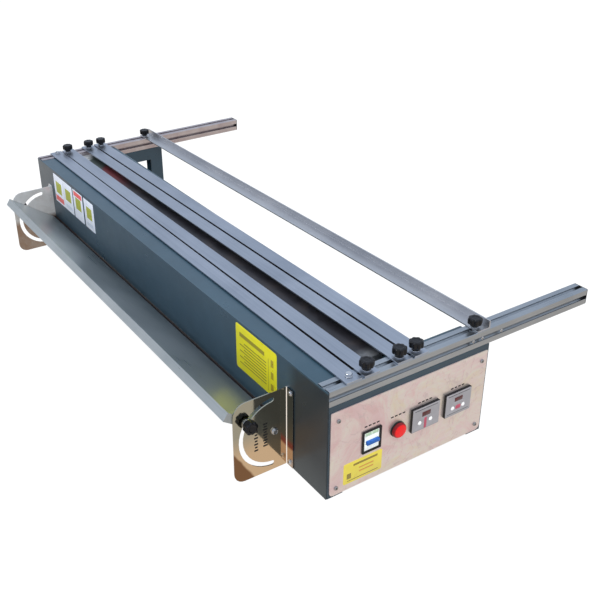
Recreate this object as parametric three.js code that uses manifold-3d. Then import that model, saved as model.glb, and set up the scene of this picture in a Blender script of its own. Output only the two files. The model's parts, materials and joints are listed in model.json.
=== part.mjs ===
// Strip heater for bending plastic sheet: a folded sheet-metal trough with two
// heating slits, four aluminium slit plates on two slotted cross rails, a sliding
// back stop, a tilting front tray in two arc-slot brackets, and a control box.
// Millimetres, +Z up.  +X runs along the machine to the control box; that end is
// "near", the -X end is "far".  -Y is the operator's side (front), +Y the back.
import * as THREE from 'three';
import { mergeVertices } from 'three/addons/utils/BufferGeometryUtils.js';
import Module from 'manifold-3d';

// ---------------------------------------------------------------- shared dimensions
const ORIGIN_Y = 100; // group origin, behind the front panel's front-to-back zero
const HALF = 632.5; // half the length over the outer faces of the rails
const GAP = 0.3; // assembly clearance between neighbouring solids
const OVERLAP = 1; // how far a cutter passes a face, or a joined piece enters its neighbour
const SHEET = 2; // body sheet thickness

const RAIL = 30; // rail section
const RAIL_TOP = 211;
const RAIL_X = HALF - RAIL / 2; // rail centre lines at +-RAIL_X
const RAIL_MID_Z = RAIL_TOP - RAIL / 2;
const RAIL_ENDS = [['near', RAIL_X], ['far', -RAIL_X]];
const SLOT_LIP = 2.2; // thickness of the T-slot lips

const BOX_DEPTH = 339; // back face of the control box and of the far end frame
const BOX_INNER_X = 562.5; // inner face of the control box
const BOX_TOP = RAIL_TOP - RAIL - GAP;

const STUD_R = 3;
const STUD_HOLE_R = 3.5;

// ---------------------------------------------------------------- materials
const FINISH = {
  paint: { color: 0x3a4f5a, roughness: 0.45, metalness: 0.1 },
  aluminium: { color: 0xa3b2c2, roughness: 0.35, metalness: 0.9 },
  rail: { color: 0x9aa3a8, roughness: 0.3, metalness: 0.9 },
  stainless: { color: 0xcbbcb6, roughness: 0.25, metalness: 1 },
  mirror: { color: 0xb8b2a8, roughness: 0.08, metalness: 1 },
  galvanised: { color: 0x76838a, roughness: 0.3, metalness: 0.9 },
  knob: { color: 0x17171a, roughness: 0.4, metalness: 0 },
  steel: { color: 0xc4c8cc, roughness: 0.3, metalness: 1 },
  dark: { color: 0x2e2622, roughness: 0.4, metalness: 0.8 },
  black: { color: 0x101012, roughness: 0.5, metalness: 0 },
  white: { color: 0xd9e4da, roughness: 0.45, metalness: 0 },
  blue: { color: 0x2264ad, roughness: 0.4, metalness: 0 },
  red: { color: 0xd91c1c, roughness: 0.15, metalness: 0 },
  grey: { color: 0x98989a, roughness: 0.5, metalness: 0 },
  button: { color: 0xf2f2f2, roughness: 0.35, metalness: 0 },
  quartz: { color: 0xb55a3c, roughness: 0.25, metalness: 0 },
  nylon: { color: 0x1c1c1e, roughness: 0.5, metalness: 0 },
};

// ---------------------------------------------------------------- solid tools
const manifold = await Module();
manifold.setup();

// closed mesh -> solid
function solid(geometry) {
  const bare = geometry.clone();
  for (const key of Object.keys(bare.attributes)) {
    if (key !== 'position') bare.deleteAttribute(key);
  }
  const merged = mergeVertices(bare, 1e-4);
  return new manifold.Manifold(new manifold.Mesh({
    numProp: 3,
    vertProperties: Float32Array.from(merged.attributes.position.array),
    triVerts: Uint32Array.from(merged.index.array),
  }));
}

// solid -> mesh
function surface(body) {
  const mesh = body.getMesh();
  const geometry = new THREE.BufferGeometry();
  const positions = Float32Array.from(mesh.vertProperties);
  geometry.setAttribute('position', new THREE.BufferAttribute(positions, 3));
  geometry.setIndex(new THREE.BufferAttribute(Uint32Array.from(mesh.triVerts), 1));
  geometry.computeVertexNormals();
  return geometry;
}

const join = (...pieces) => surface(pieces.map(solid).reduce((a, b) => a.add(b)));
const cut = (base, ...tools) =>
  surface(tools.map(solid).reduce((a, b) => a.subtract(b), solid(base)));

const box = (x0, x1, y0, y1, z0, z1) =>
  new THREE.BoxGeometry(x1 - x0, y1 - y0, z1 - z0)
    .translate((x0 + x1) / 2, (y0 + y1) / 2, (z0 + z1) / 2);

// box over a { y0, y1, z0, z1 } rectangle, its edges moved out by grow
const slab = (x0, x1, rect, grow = 0) =>
  box(x0, x1, rect.y0 - grow, rect.y1 + grow, rect.z0 - grow, rect.z1 + grow);

// right-handed frames that carry a profile and its extrusion
const unitX = new THREE.Vector3(1, 0, 0);
const unitY = new THREE.Vector3(0, 1, 0);
const unitZ = new THREE.Vector3(0, 0, 1);
const FRAME = {
  X: new THREE.Matrix4().makeBasis(unitY, unitZ, unitX), // profile (y, z) along +X
  Y: new THREE.Matrix4().makeBasis(unitZ, unitX, unitY), // profile (z, x) along +Y
  Z: new THREE.Matrix4(), // profile (x, y) along +Z
};

function prism(points, axis, start, end, holes = []) {
  const vectors = (outline) => outline.map(([x, y]) => new THREE.Vector2(x, y));
  const shape = new THREE.Shape(vectors(points));
  for (const hole of holes) shape.holes.push(new THREE.Path(vectors(hole)));
  const options = { depth: end - start, bevelEnabled: false, steps: 1 };
  return new THREE.ExtrudeGeometry(shape, options)
    .translate(0, 0, start)
    .applyMatrix4(FRAME[axis]);
}

const circle = (x, y, radius, count, phase = 0) =>
  Array.from({ length: count }, (_, i) => {
    const angle = phase + (2 * Math.PI * i) / count;
    return [x + radius * Math.cos(angle), y + radius * Math.sin(angle)];
  });

// round and hexagonal bars, centred on (x, y) of the axis's profile plane
const bar = (axis, x, y, radius, start, end, count = 16) =>
  prism(circle(x, y, radius, count, Math.PI / count), axis, start, end);
const hexBar = (axis, x, y, acrossFlats, start, end) =>
  prism(circle(x, y, acrossFlats / Math.sqrt(3), 6, Math.PI / 6), axis, start, end);

// rounded rectangle; radii run lower-left, lower-right, upper-right, upper-left
function roundRect(x0, x1, y0, y1, radius, steps = 4) {
  const radii = Array.isArray(radius) ? radius : Array(4).fill(radius);
  // corner x, y and the direction from it to the arc centre
  const corners = [[x0, y0, 1, 1], [x1, y0, -1, 1], [x1, y1, -1, -1], [x0, y1, 1, -1]];
  return corners.flatMap(([x, y, inX, inY], i) => {
    const size = radii[i];
    if (size === 0) return [[x, y]];
    return Array.from({ length: steps + 1 }, (_, k) => {
      const angle = THREE.MathUtils.degToRad(180 + 90 * i + (90 * k) / steps);
      return [x + size * (inX + Math.cos(angle)), y + size * (inY + Math.sin(angle))];
    });
  });
}

// the two values in rising order
const span = (from, to) => (from < to ? [from, to] : [to, from]);

const part = new THREE.Group();
const machine = new THREE.Group();
machine.position.y = -ORIGIN_Y;
part.add(machine);

function add(name, geometry, finish, parent = machine) {
  const mesh = new THREE.Mesh(geometry, new THREE.MeshStandardMaterial(finish));
  mesh.name = name;
  parent.add(mesh);
  return mesh;
}

// ---------------------------------------------------------------- trough panels
const TROUGH_X = [-HALF + RAIL + GAP, BOX_INNER_X - GAP];
const TROUGH_BACK = 202; // outer face of the back panel
const FRONT_TOP = 209.4; // top of the front panel's flange
const FRONT_FLANGE_Y = 60; // back edge of that flange
const BACK_TOP = 205;
const BACK_FLANGE = 26; // depth of the back panel's top return
const BOTTOM_RETURN = 18; // depth of both bottom returns
const RETURN_Z = [SHEET + GAP, 2 * SHEET + GAP]; // the returns lie over the floor

add('front_panel', join(
  box(-HALF, HALF, -SHEET, 0, 0, FRONT_TOP),
  box(TROUGH_X[0], HALF - RAIL - GAP, -SHEET, FRONT_FLANGE_Y, FRONT_TOP - SHEET, FRONT_TOP),
  box(...TROUGH_X, -SHEET, BOTTOM_RETURN, ...RETURN_Z)
), FINISH.paint);

add('back_panel', join(
  box(...TROUGH_X, TROUGH_BACK - SHEET, TROUGH_BACK, 0, BACK_TOP),
  box(...TROUGH_X, TROUGH_BACK - BACK_FLANGE, TROUGH_BACK, BACK_TOP - SHEET, BACK_TOP),
  box(...TROUGH_X, TROUGH_BACK - BOTTOM_RETURN, TROUGH_BACK, ...RETURN_Z)
), FINISH.paint);

// floor of the trough, with two rows of vent slots
const VENT = { rows: [70, 132], pitch: 130, first: -500, count: 8, length: 70, width: 8 };
const vents = VENT.rows.flatMap((y) => Array.from({ length: VENT.count }, (_, i) => {
  const x = VENT.first + i * VENT.pitch;
  const half = VENT.width / 2;
  return box(x, x + VENT.length, y - half, y + half, -OVERLAP, SHEET + OVERLAP);
}));
const floor = box(...TROUGH_X, GAP, TROUGH_BACK - SHEET - GAP, 0, SHEET);
add('base_plate', cut(floor, ...vents), FINISH.paint);

// ---------------------------------------------------------------- end boxes
const FRAME_WINDOW = { y0: 214, y1: 304, z0: 34, z1: 149 };
const BOX_OPENING = { y0: 26, y1: 313, z0: 8, z1: 163 }; // in the +X face
// notch through the floor and the lower rim, at the +X edge
const BOX_NOTCH = { y0: 32, y1: 307, z0: -OVERLAP, z1: 8.5 };
const BOX_NOTCH_DEPTH = 12;
const PANEL_SCREWS = [
  { place: 'front_lower', y: 16.5, z: 18 },
  { place: 'back_lower', y: 323.5, z: 18 },
  { place: 'front_upper', y: 18, z: 151 },
  { place: 'back_upper', y: 323.5, z: 151 },
];
const GLAND = [40, 597]; // z, x of the cable gland's axis

const screwHoles = (start, end) =>
  PANEL_SCREWS.map(({ y, z }) => bar('X', y, z, 2.4, start, end, 10));

// hollow sheet box under a rail, with further openings cut out
const sheetBox = (x0, x1, ...openings) => cut(
  box(x0, x1, GAP, BOX_DEPTH, 0, BOX_TOP),
  box(x0 + SHEET, x1 - SHEET, GAP + SHEET, BOX_DEPTH - SHEET, SHEET, BOX_TOP - SHEET),
  ...openings
);

add('far_end_frame', sheetBox(
  -HALF, -HALF + RAIL,
  slab(-HALF - OVERLAP, -HALF + RAIL + OVERLAP, FRAME_WINDOW)
), FINISH.paint);

add('control_box_shell', sheetBox(
  BOX_INNER_X, HALF,
  slab(HALF - SHEET - OVERLAP, HALF + OVERLAP, BOX_OPENING),
  slab(HALF - BOX_NOTCH_DEPTH, HALF + OVERLAP, BOX_NOTCH),
  ...screwHoles(HALF - SHEET - OVERLAP, HALF + OVERLAP),
  bar('Y', ...GLAND, 8.4, BOX_DEPTH - SHEET - OVERLAP, BOX_DEPTH + OVERLAP)
), FINISH.paint);

// ---------------------------------------------------------------- control plate
const PANEL_X = HALF + GAP; // inner face
const PANEL_T = 1.5;
const PANEL = { y0: 3.5, y1: 335.5, z0: 4, z1: 170, radii: [8, 9, 2.5, 2.5] };
const PANEL_CUT = [PANEL_X - OVERLAP, PANEL_X + PANEL_T + OVERLAP];
const FACE_X = PANEL_X + PANEL_T + GAP; // plane the panel devices sit on

const BREAKER_BEZEL = { y0: 66.4, y1: 105.8, z0: 64.4, z1: 108.8 };
const BREAKER_WINDOW = { y0: 70.2, y1: 101.6, z0: 68.4, z1: 105.2 };
const LAMP = [140.5, 85]; // y, z of the lamp's axis
const CONTROLLERS = [
  { y0: 168.2, y1: 228.4, z0: 65.2, z1: 112 },
  { y0: 242.2, y1: 300.6, z0: 65.2, z1: 112 },
];

const outline = ({ y0, y1, z0, z1 }, radius, steps) => roundRect(y0, y1, z0, z1, radius, steps);

add('control_panel_plate', cut(
  prism(outline(PANEL, PANEL.radii), 'X', PANEL_X, PANEL_X + PANEL_T),
  slab(...PANEL_CUT, BREAKER_WINDOW, 1.5),
  bar('X', ...LAMP, 11.3, ...PANEL_CUT, 20),
  ...CONTROLLERS.map((rect) => slab(...PANEL_CUT, rect, -4)),
  ...screwHoles(...PANEL_CUT)
), FINISH.stainless);

for (const { place, y, z } of PANEL_SCREWS) {
  add(`panel_screw_${place}`, join(
    bar('X', y, z, 4, FACE_X, FACE_X + 2.2, 14),
    bar('X', y, z, 2, FACE_X - 8, FACE_X + OVERLAP, 8)
  ), FINISH.steel);
}

// ---------------------------------------------------------------- breaker
const BEZEL_T = 2.2;
const BODY_CLEARANCE = 0.6; // around the body in the bezel and the toggle in the body
const TOGGLE = { x: FACE_X - 5.5, z: 85.6, y0: 72.8, y1: 99, drumRadius: 8 };
const TOGGLE_SLOT = {
  y0: TOGGLE.y0 - BODY_CLEARANCE,
  y1: TOGGLE.y1 + BODY_CLEARANCE,
  z0: TOGGLE.z - 10.5,
  z1: TOGGLE.z + 10.5,
};
// lever profile: z, x from the toggle axis
const LEVER = [[-3.6, 4], [3.6, 4], [4.1, 11], [3, 12.2], [-3, 12.2], [-4.1, 11]];

add('breaker_bezel', prism(
  outline(BREAKER_BEZEL, 1.5, 2), 'X', FACE_X, FACE_X + BEZEL_T,
  [outline(BREAKER_WINDOW, 0).reverse()]
), FINISH.black);

// the nose stands in the bezel, the toggle in its slot
add('breaker_body', cut(
  slab(FACE_X - 62, FACE_X + 0.9, BREAKER_WINDOW, -BODY_CLEARANCE),
  slab(TOGGLE.x - 10, FACE_X + 0.9 + OVERLAP, TOGGLE_SLOT)
), FINISH.white);

const lever = LEVER.map(([z, x]) => [TOGGLE.z + z, TOGGLE.x + x]);
add('breaker_toggle', join(
  bar('Y', TOGGLE.z, TOGGLE.x, TOGGLE.drumRadius, TOGGLE.y0, TOGGLE.y1, 20),
  prism(lever, 'Y', TOGGLE.y0, TOGGLE.y1)
), FINISH.blue);

// ---------------------------------------------------------------- pilot lamp
const LAMP_BEZEL_T = 2.8;
// lens half section: radius, height
const LENS = [[0, 0], [13.9, 0], [13.9, 3.4], [13, 4.8], [11.2, 5.9], [7, 6.4], [0, 6.7]];

add('pilot_lamp_body', join(
  bar('X', ...LAMP, 15, FACE_X, FACE_X + LAMP_BEZEL_T, 24),
  bar('X', ...LAMP, 10.8, FACE_X - 40, FACE_X + OVERLAP, 20)
), FINISH.black);

const lens = new THREE.LatheGeometry(LENS.map((point) => new THREE.Vector2(...point)), 24)
  .rotateZ(-Math.PI / 2) // lathe axis to +X
  .translate(FACE_X + LAMP_BEZEL_T + GAP, ...LAMP);
add('pilot_lamp_lens', surface(solid(lens)), FINISH.red);

// ---------------------------------------------------------------- controllers
const CONTROLLER_FACE = FACE_X + 4.6;
// button centres from the controller's lower front corner
const BUTTONS = [{ name: 'down', y: 16.9, z: 15.6 }, { name: 'up', y: 40.9, z: 15.6 }];
const BUTTON_R = 3.9;
const POCKET_FLOOR = FACE_X + 0.8;
const BUTTON_BACK = FACE_X + 2;
const BUTTON_PROUD = 1;

CONTROLLERS.forEach((rect, i) => {
  const name = `controller_${i + 1}`;
  const button = ({ y, z }, radius, start, end) =>
    bar('X', rect.y0 + y, rect.z0 + z, radius, start, end);
  add(name, cut(
    join(
      prism(outline(rect, 1.2, 2), 'X', FACE_X, CONTROLLER_FACE),
      slab(FACE_X - 55, FACE_X + OVERLAP, rect, -4.6)
    ),
    ...BUTTONS.map((at) => button(at, BUTTON_R + GAP, POCKET_FLOOR, CONTROLLER_FACE + OVERLAP))
  ), FINISH.grey);
  for (const at of BUTTONS) {
    const geometry = button(at, BUTTON_R, BUTTON_BACK, CONTROLLER_FACE + BUTTON_PROUD);
    add(`${name}_button_${at.name}`, geometry, FINISH.button);
  }
});

// ---------------------------------------------------------------- wiring parts
// terminal strip on the floor of the control box, notched along its upper -X edge
const STRIP = { x0: 585, x1: 607, y0: 120, y1: 230, top: 22 };
const NOTCH = { count: 6, first: 126, pitch: 17, width: 11, depth: 7, z0: 12 };
add('terminal_strip', cut(
  box(STRIP.x0, STRIP.x1, STRIP.y0, STRIP.y1, SHEET + GAP, STRIP.top),
  ...Array.from({ length: NOTCH.count }, (_, i) => {
    const y = NOTCH.first + i * NOTCH.pitch;
    const [x0, x1] = [STRIP.x0 - OVERLAP, STRIP.x0 + NOTCH.depth];
    return box(x0, x1, y, y + NOTCH.width, NOTCH.z0, STRIP.top + OVERLAP);
  })
), FINISH.nylon);

// cable gland in the back of the control box: flange, inner barrel, outer barrel, bore
const GLAND_FLANGE = BOX_DEPTH + 5;
const GLAND_Y = [BOX_DEPTH - 10, BOX_DEPTH + 14];
add('cable_gland', cut(
  join(
    hexBar('Y', ...GLAND, 22, BOX_DEPTH + GAP, GLAND_FLANGE),
    bar('Y', ...GLAND, 8, GLAND_Y[0], BOX_DEPTH + OVERLAP),
    bar('Y', ...GLAND, 9, GLAND_FLANGE - OVERLAP, GLAND_Y[1])
  ),
  bar('Y', ...GLAND, 4, GLAND_Y[0] - OVERLAP, GLAND_Y[1] + OVERLAP, 12)
), FINISH.nylon);

// ---------------------------------------------------------------- cross rails
const RAIL_BACK = 581; // back end of the rails
const RAIL_CHAMFER = 0.9;
const RAIL_BORE_R = 3.4;
const SLOT_WIDTH = 8; // T-slot opening
const CAVITY_HALF = 8.2; // half width of the T-slot cavity
const CAVITY_WALL = 1.6; // straight part of the cavity's side
const SLOT_FLOOR = [4.2, 6.6]; // half width, height above the rail centre

function railProfile(centreZ, centreX) {
  const half = RAIL / 2;
  const halfSlot = [
    [SLOT_WIDTH / 2, half],
    [SLOT_WIDTH / 2, half - SLOT_LIP],
    [CAVITY_HALF, half - SLOT_LIP],
    [CAVITY_HALF, half - SLOT_LIP - CAVITY_WALL],
    SLOT_FLOOR,
  ];
  let side = [
    [half, half - RAIL_CHAMFER],
    [half - RAIL_CHAMFER, half],
    ...halfSlot,
    ...halfSlot.map(([x, y]) => [-x, y]).reverse(),
  ];
  const points = [];
  for (let turn = 0; turn < 4; turn++) {
    points.push(...side.map(([x, y]) => [x + centreZ, y + centreX]));
    side = side.map(([x, y]) => [-y, x]); // quarter turn
  }
  return points;
}

for (const [side, x] of RAIL_ENDS) {
  const bore = circle(RAIL_MID_Z, x, RAIL_BORE_R, 10).reverse();
  const rail = prism(railProfile(RAIL_MID_Z, x), 'Y', GAP, RAIL_BACK, [bore]);
  add(`${side}_rail`, rail, FINISH.rail);
}

// ---------------------------------------------------------------- knobs and T-nuts
const KNOB = { radius: 12.5, lobes: 8, lobeHeight: 0.75, head: 12, neck: 6, neckRadius: 7.5 };
const STUD_END = RAIL_MID_Z + 8; // stud tips stop above the slot floor
const NUT_Z = [RAIL_MID_Z + 9, RAIL_TOP - SLOT_LIP - 0.4];
const NUT_HALF = { x: 5.6, y: 7 };

const nutBlock = (x, y) =>
  box(x - NUT_HALF.x, x + NUT_HALF.x, y - NUT_HALF.y, y + NUT_HALF.y, ...NUT_Z);

// lobed grip on a neck with a stud: base at z = 0, head up, stud down
function knob(studLength) {
  const count = KNOB.lobes * 4;
  const grip = Array.from({ length: count }, (_, i) => {
    const angle = (2 * Math.PI * i) / count;
    const radius = KNOB.radius + KNOB.lobeHeight * (Math.cos(KNOB.lobes * angle) - 1);
    return [radius * Math.cos(angle), radius * Math.sin(angle)];
  });
  return join(
    prism(grip, 'Z', KNOB.neck, KNOB.neck + KNOB.head),
    bar('Z', 0, 0, KNOB.neckRadius, 0, KNOB.neck + OVERLAP),
    bar('Z', 0, 0, STUD_R, -studLength, OVERLAP, 12)
  );
}

// T-nut in the rail slot and a knob whose base sits at height base
function addClamp(owner, side, x, y, base) {
  const hole = bar('Z', x, y, STUD_HOLE_R - 0.1, NUT_Z[0] - OVERLAP, NUT_Z[1] + OVERLAP, 12);
  add(`${owner}_tnut_${side}`, cut(nutBlock(x, y), hole), FINISH.steel);
  const grip = add(`${owner}_knob_${side}`, knob(base - STUD_END), FINISH.knob);
  grip.position.set(x, y, base);
}

// ---------------------------------------------------------------- slit plates
const PLATE_T = 3;
const PLATE_W = 30;
const PLATE_Z = RAIL_TOP + GAP;
const PLATE_FIXING_Z = PLATE_Z + PLATE_T + GAP; // underside of knobs and bolt washers
// front: front edge at the near end; skew: how much further forward the far end lies;
// farStud: how far the far stud hole is ahead of the plate's centre line
const PLATES = [
  { front: 33, skew: 0, farStud: 0 },
  { front: 68, skew: 2.5, farStud: 4 },
  { front: 134.5, skew: 15, farStud: 0 },
  { front: 169.5, skew: 15.5, farStud: 0 },
];
const BOLT = { washerRadius: 6.2, washer: 1.4, acrossFlats: 10, top: 5.6 };

// bar across the machine whose far end lies further forward than its near end
const skewedBar = (y, width, skew, z0, z1) => prism(
  [[HALF, y], [HALF, y + width], [-HALF, y + width - skew], [-HALF, y - skew]], 'Z', z0, z1
);
const skewAt = (skew, x) => (skew * (HALF - x)) / (2 * HALF);
const studHole = (x, y, thickness) =>
  bar('Z', x, y, STUD_HOLE_R, PLATE_Z - OVERLAP, PLATE_Z + thickness + OVERLAP, 14);

// washer, hex head, shank and T-nut in one piece
const plateBolt = (x, y) => join(
  bar('Z', x, y, BOLT.washerRadius, PLATE_FIXING_Z, PLATE_FIXING_Z + BOLT.washer),
  hexBar('Z', x, y, BOLT.acrossFlats, PLATE_FIXING_Z + OVERLAP, PLATE_FIXING_Z + BOLT.top),
  bar('Z', x, y, STUD_R, STUD_END, PLATE_FIXING_Z + OVERLAP, 12),
  nutBlock(x, y)
);

PLATES.forEach(({ front, skew, farStud }, i) => {
  const name = `plate_${i + 1}`;
  const studs = RAIL_ENDS.map(([side, x]) => {
    const centre = front + PLATE_W / 2 - skewAt(skew, x);
    return { side, x, y: side === 'far' ? centre - farStud : centre };
  });
  add(`slit_${name}`, cut(
    skewedBar(front, PLATE_W, skew, PLATE_Z, PLATE_Z + PLATE_T),
    ...studs.map(({ x, y }) => studHole(x, y, PLATE_T))
  ), FINISH.aluminium);
  for (const { side, x, y } of studs) {
    // only the first plate is bolted down
    if (i === 0) add(`${name}_bolt_${side}`, plateBolt(x, y), FINISH.steel);
    else addClamp(name, side, x, y, PLATE_FIXING_Z);
  }
});

// ---------------------------------------------------------------- back stop
// aluminium angle lying on the rails, upright leg at the back
const STOP = { front: 308, width: 28, thickness: 2.5, height: 15, knobY: 314.5, skew: 17 };
const stopStudY = (x) => STOP.knobY - skewAt(STOP.skew, x);
const legY = STOP.front + STOP.width - STOP.thickness;
add('backstop_bar', cut(
  join(
    skewedBar(STOP.front, STOP.width, STOP.skew, PLATE_Z, PLATE_Z + STOP.thickness),
    skewedBar(legY, STOP.thickness, STOP.skew, PLATE_Z, PLATE_Z + STOP.height)
  ),
  ...RAIL_ENDS.map(([, x]) => studHole(x, stopStudY(x), STOP.thickness))
), FINISH.aluminium);
for (const [side, x] of RAIL_ENDS) {
  addClamp('backstop', side, x, stopStudY(x), PLATE_Z + STOP.thickness + GAP);
}

// ---------------------------------------------------------------- heaters
const SLITS = [['front', 65.5], ['rear', 167]]; // centre lines of the heating slits
const CHANNEL = { half: 18, sheet: 1.5, z0: 150, z1: 198, chamfer: 12, bendInset: 0.6 };
const CHANNEL_X = [-HALF + RAIL + 6, BOX_INNER_X - 6];
const TUBE = { z: 172, radius: 6, inset: 26 };
const HOLDER = { half: 5, top: 184, outset: 6, inset: 28 }; // outset, inset: from channel end

// U channel with chamfered lower corners: y, z
function channelProfile(y) {
  const { half, sheet, z0, z1, chamfer, bendInset } = CHANNEL;
  const inner = half - sheet;
  const flat = half - chamfer; // half width of the flat bottom
  const bendZ = z0 + chamfer;
  return [
    [y - half, z1], [y - half, bendZ], [y - flat, z0],
    [y + flat, z0], [y + half, bendZ], [y + half, z1],
    [y + inner, z1], [y + inner, bendZ + bendInset], [y + flat - bendInset, z0 + sheet],
    [y - flat + bendInset, z0 + sheet], [y - inner, bendZ + bendInset], [y - inner, z1],
  ];
}

for (const [place, y] of SLITS) {
  const [x0, x1] = CHANNEL_X;
  const holder = (start, end) => box(
    start, end, y - HOLDER.half, y + HOLDER.half, CHANNEL.z0 + CHANNEL.sheet + GAP, HOLDER.top
  );
  add(`heater_channel_${place}`, prism(channelProfile(y), 'X', x0, x1), FINISH.mirror);
  add(`heater_element_${place}`, join(
    bar('X', y, TUBE.z, TUBE.radius, x0 + TUBE.inset, x1 - TUBE.inset, 14),
    holder(x0 + HOLDER.outset, x0 + HOLDER.inset),
    holder(x1 - HOLDER.inset, x1 - HOLDER.outset)
  ), FINISH.quartz);
}

// heat shield bridging the space between the two channels, with a tab bent down
// over the control box and a notch in the front leg at the far end
const SHIELD = { y0: 86, y1: 147.5, bottom: 165, top: 201, sheet: 1.5 };
const SHIELD_X = [-HALF + RAIL + 2, BOX_INNER_X - 2];
const TAB_END = BOX_INNER_X + 16;
const legFront = SHIELD.y0 + SHIELD.sheet;
const legBack = SHIELD.y1 - SHIELD.sheet;
const underside = SHIELD.top - SHIELD.sheet;
const shieldProfile = [
  [SHIELD.y0, SHIELD.bottom], [legFront, SHIELD.bottom], [legFront, underside],
  [legBack, underside], [legBack, SHIELD.bottom], [SHIELD.y1, SHIELD.bottom],
  [SHIELD.y1, SHIELD.top], [SHIELD.y0, SHIELD.top],
];
add('heat_shield', cut(
  join(
    prism(shieldProfile, 'X', ...SHIELD_X),
    box(SHIELD_X[1] - OVERLAP, TAB_END, SHIELD.y0, SHIELD.y1, underside, SHIELD.top),
    box(TAB_END - SHIELD.sheet, TAB_END, SHIELD.y0, SHIELD.y1, BOX_TOP + 1.6, SHIELD.top)
  ),
  box(SHIELD_X[0] + 2, SHIELD_X[0] + 12, SHIELD.y0 - OVERLAP, legFront + 0.5, 160, 190)
), FINISH.dark);

// ---------------------------------------------------------------- tray brackets
const PIVOT = [-28.6, 81.4]; // y, z of the tray's pivot axis
const ARC = { radius: 64.6, width: 8.6, end: 86 }; // lock slot; end is its end angle
const BRACKETS = [ // inner face and direction away from the tray
  { side: 'near', inner: 521, away: 1 },
  { side: 'far', inner: -545, away: -1 },
];
const BRACKET_T = 2;
const BRACKET = { y0: -107.3, y1: -SHEET - GAP, z0: 2.6, z1: 160, radii: [20, 0, 0, 24] };
const FLANGE = 20;

// (y, z) at an angle in degrees, measured from -Y towards +Z
function polar([y, z], radius, degrees) {
  const angle = THREE.MathUtils.degToRad(degrees);
  return [y - radius * Math.cos(angle), z + radius * Math.sin(angle)];
}

function arcSlot() {
  const { radius, width, end } = ARC;
  const half = width / 2;
  // points from one angle to another, leaving out skip points at each end
  const sweep = (centre, reach, from, to, steps, skip) =>
    Array.from({ length: steps + 1 - 2 * skip }, (_, i) =>
      polar(centre, reach, from + ((to - from) * (i + skip)) / steps));
  return [
    ...sweep(PIVOT, radius + half, end, -end, 20, 0),
    ...sweep(polar(PIVOT, radius, -end), half, -end, -end - 180, 4, 1),
    ...sweep(PIVOT, radius - half, -end, end, 20, 0),
    ...sweep(polar(PIVOT, radius, end), half, end + 180, end, 4, 1),
  ].reverse();
}

// web in the YZ plane, flange on the front panel pointing away from the tray
function bracket(inner, away) {
  const [x0, x1] = span(inner, inner + away * BRACKET_T);
  const flangeX = span(inner, inner + away * FLANGE);
  const { y1, z0, z1 } = BRACKET;
  return cut(
    join(
      prism(outline(BRACKET, BRACKET.radii, 5), 'X', x0, x1),
      box(...flangeX, y1 - BRACKET_T, y1, z0, z1)
    ),
    prism(arcSlot(), 'X', x0 - OVERLAP, x1 + OVERLAP),
    bar('X', ...PIVOT, STUD_HOLE_R, x0 - OVERLAP, x1 + OVERLAP, 14)
  );
}

for (const { side, inner, away } of BRACKETS) {
  add(`tray_bracket_${side}`, bracket(inner, away), FINISH.mirror);
}

// ---------------------------------------------------------------- tray
// flat shelf with folded-down outer lip and ends, built level about its pivot axis
const TRAY_TILT = 34.5; // degrees, outer edge up
const TRAY_X = [BRACKETS[1].inner + 0.5, BRACKETS[0].inner - 0.5];
const TRAY_Y = [-110, 24];
const TRAY_TOP = 9; // above the pivot axis
const TRAY_BOTTOM = TRAY_TOP - 16.5;
const TRAY_T = 1.5;

const tray = new THREE.Group();
tray.position.set(0, ...PIVOT);
tray.rotation.x = THREE.MathUtils.degToRad(-TRAY_TILT);
machine.add(tray);

// pivot and lock stud holes through both folded ends
const trayHoles = [[TRAY_X[0], TRAY_X[0] + TRAY_T], [TRAY_X[1] - TRAY_T, TRAY_X[1]]]
  .flatMap(([x0, x1]) => [0, -ARC.radius].map((y) =>
    bar('X', y, 0, STUD_HOLE_R, x0 - OVERLAP, x1 + OVERLAP, 14)));
add('angle_tray', cut(
  box(...TRAY_X, ...TRAY_Y, TRAY_BOTTOM, TRAY_TOP),
  box(
    TRAY_X[0] + TRAY_T, TRAY_X[1] - TRAY_T, TRAY_Y[0] + TRAY_T, TRAY_Y[1] + OVERLAP,
    TRAY_BOTTOM - OVERLAP, TRAY_TOP - TRAY_T
  ),
  ...trayHoles
), FINISH.galvanised, tray);

for (const { side, inner, away } of BRACKETS) {
  const seat = inner + away * (BRACKET_T + GAP); // just outside the bracket
  const tip = inner - away * 8;

  // lock knob: its stud runs through the arc slot into the tray end
  const studLength = BRACKET_T + 2 * GAP + 6;
  const lock = add(`tray_lock_knob_${side}`, knob(studLength), FINISH.knob, tray);
  lock.position.set(seat, -ARC.radius, 0);
  lock.rotation.y = (away * Math.PI) / 2;

  // pivot bolt: head outside the bracket, nut inside the tray end
  add(`tray_pivot_bolt_${side}`, join(
    hexBar('X', ...PIVOT, 10, ...span(seat, seat + away * 4)),
    bar('X', ...PIVOT, STUD_R, ...span(tip, seat + away * OVERLAP), 12),
    hexBar('X', ...PIVOT, 10, ...span(tip, tip + away * 5))
  ), FINISH.steel);
}

export default part;
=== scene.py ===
import json
import math

import bmesh
import bpy
from mathutils import Matrix, Vector


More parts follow.
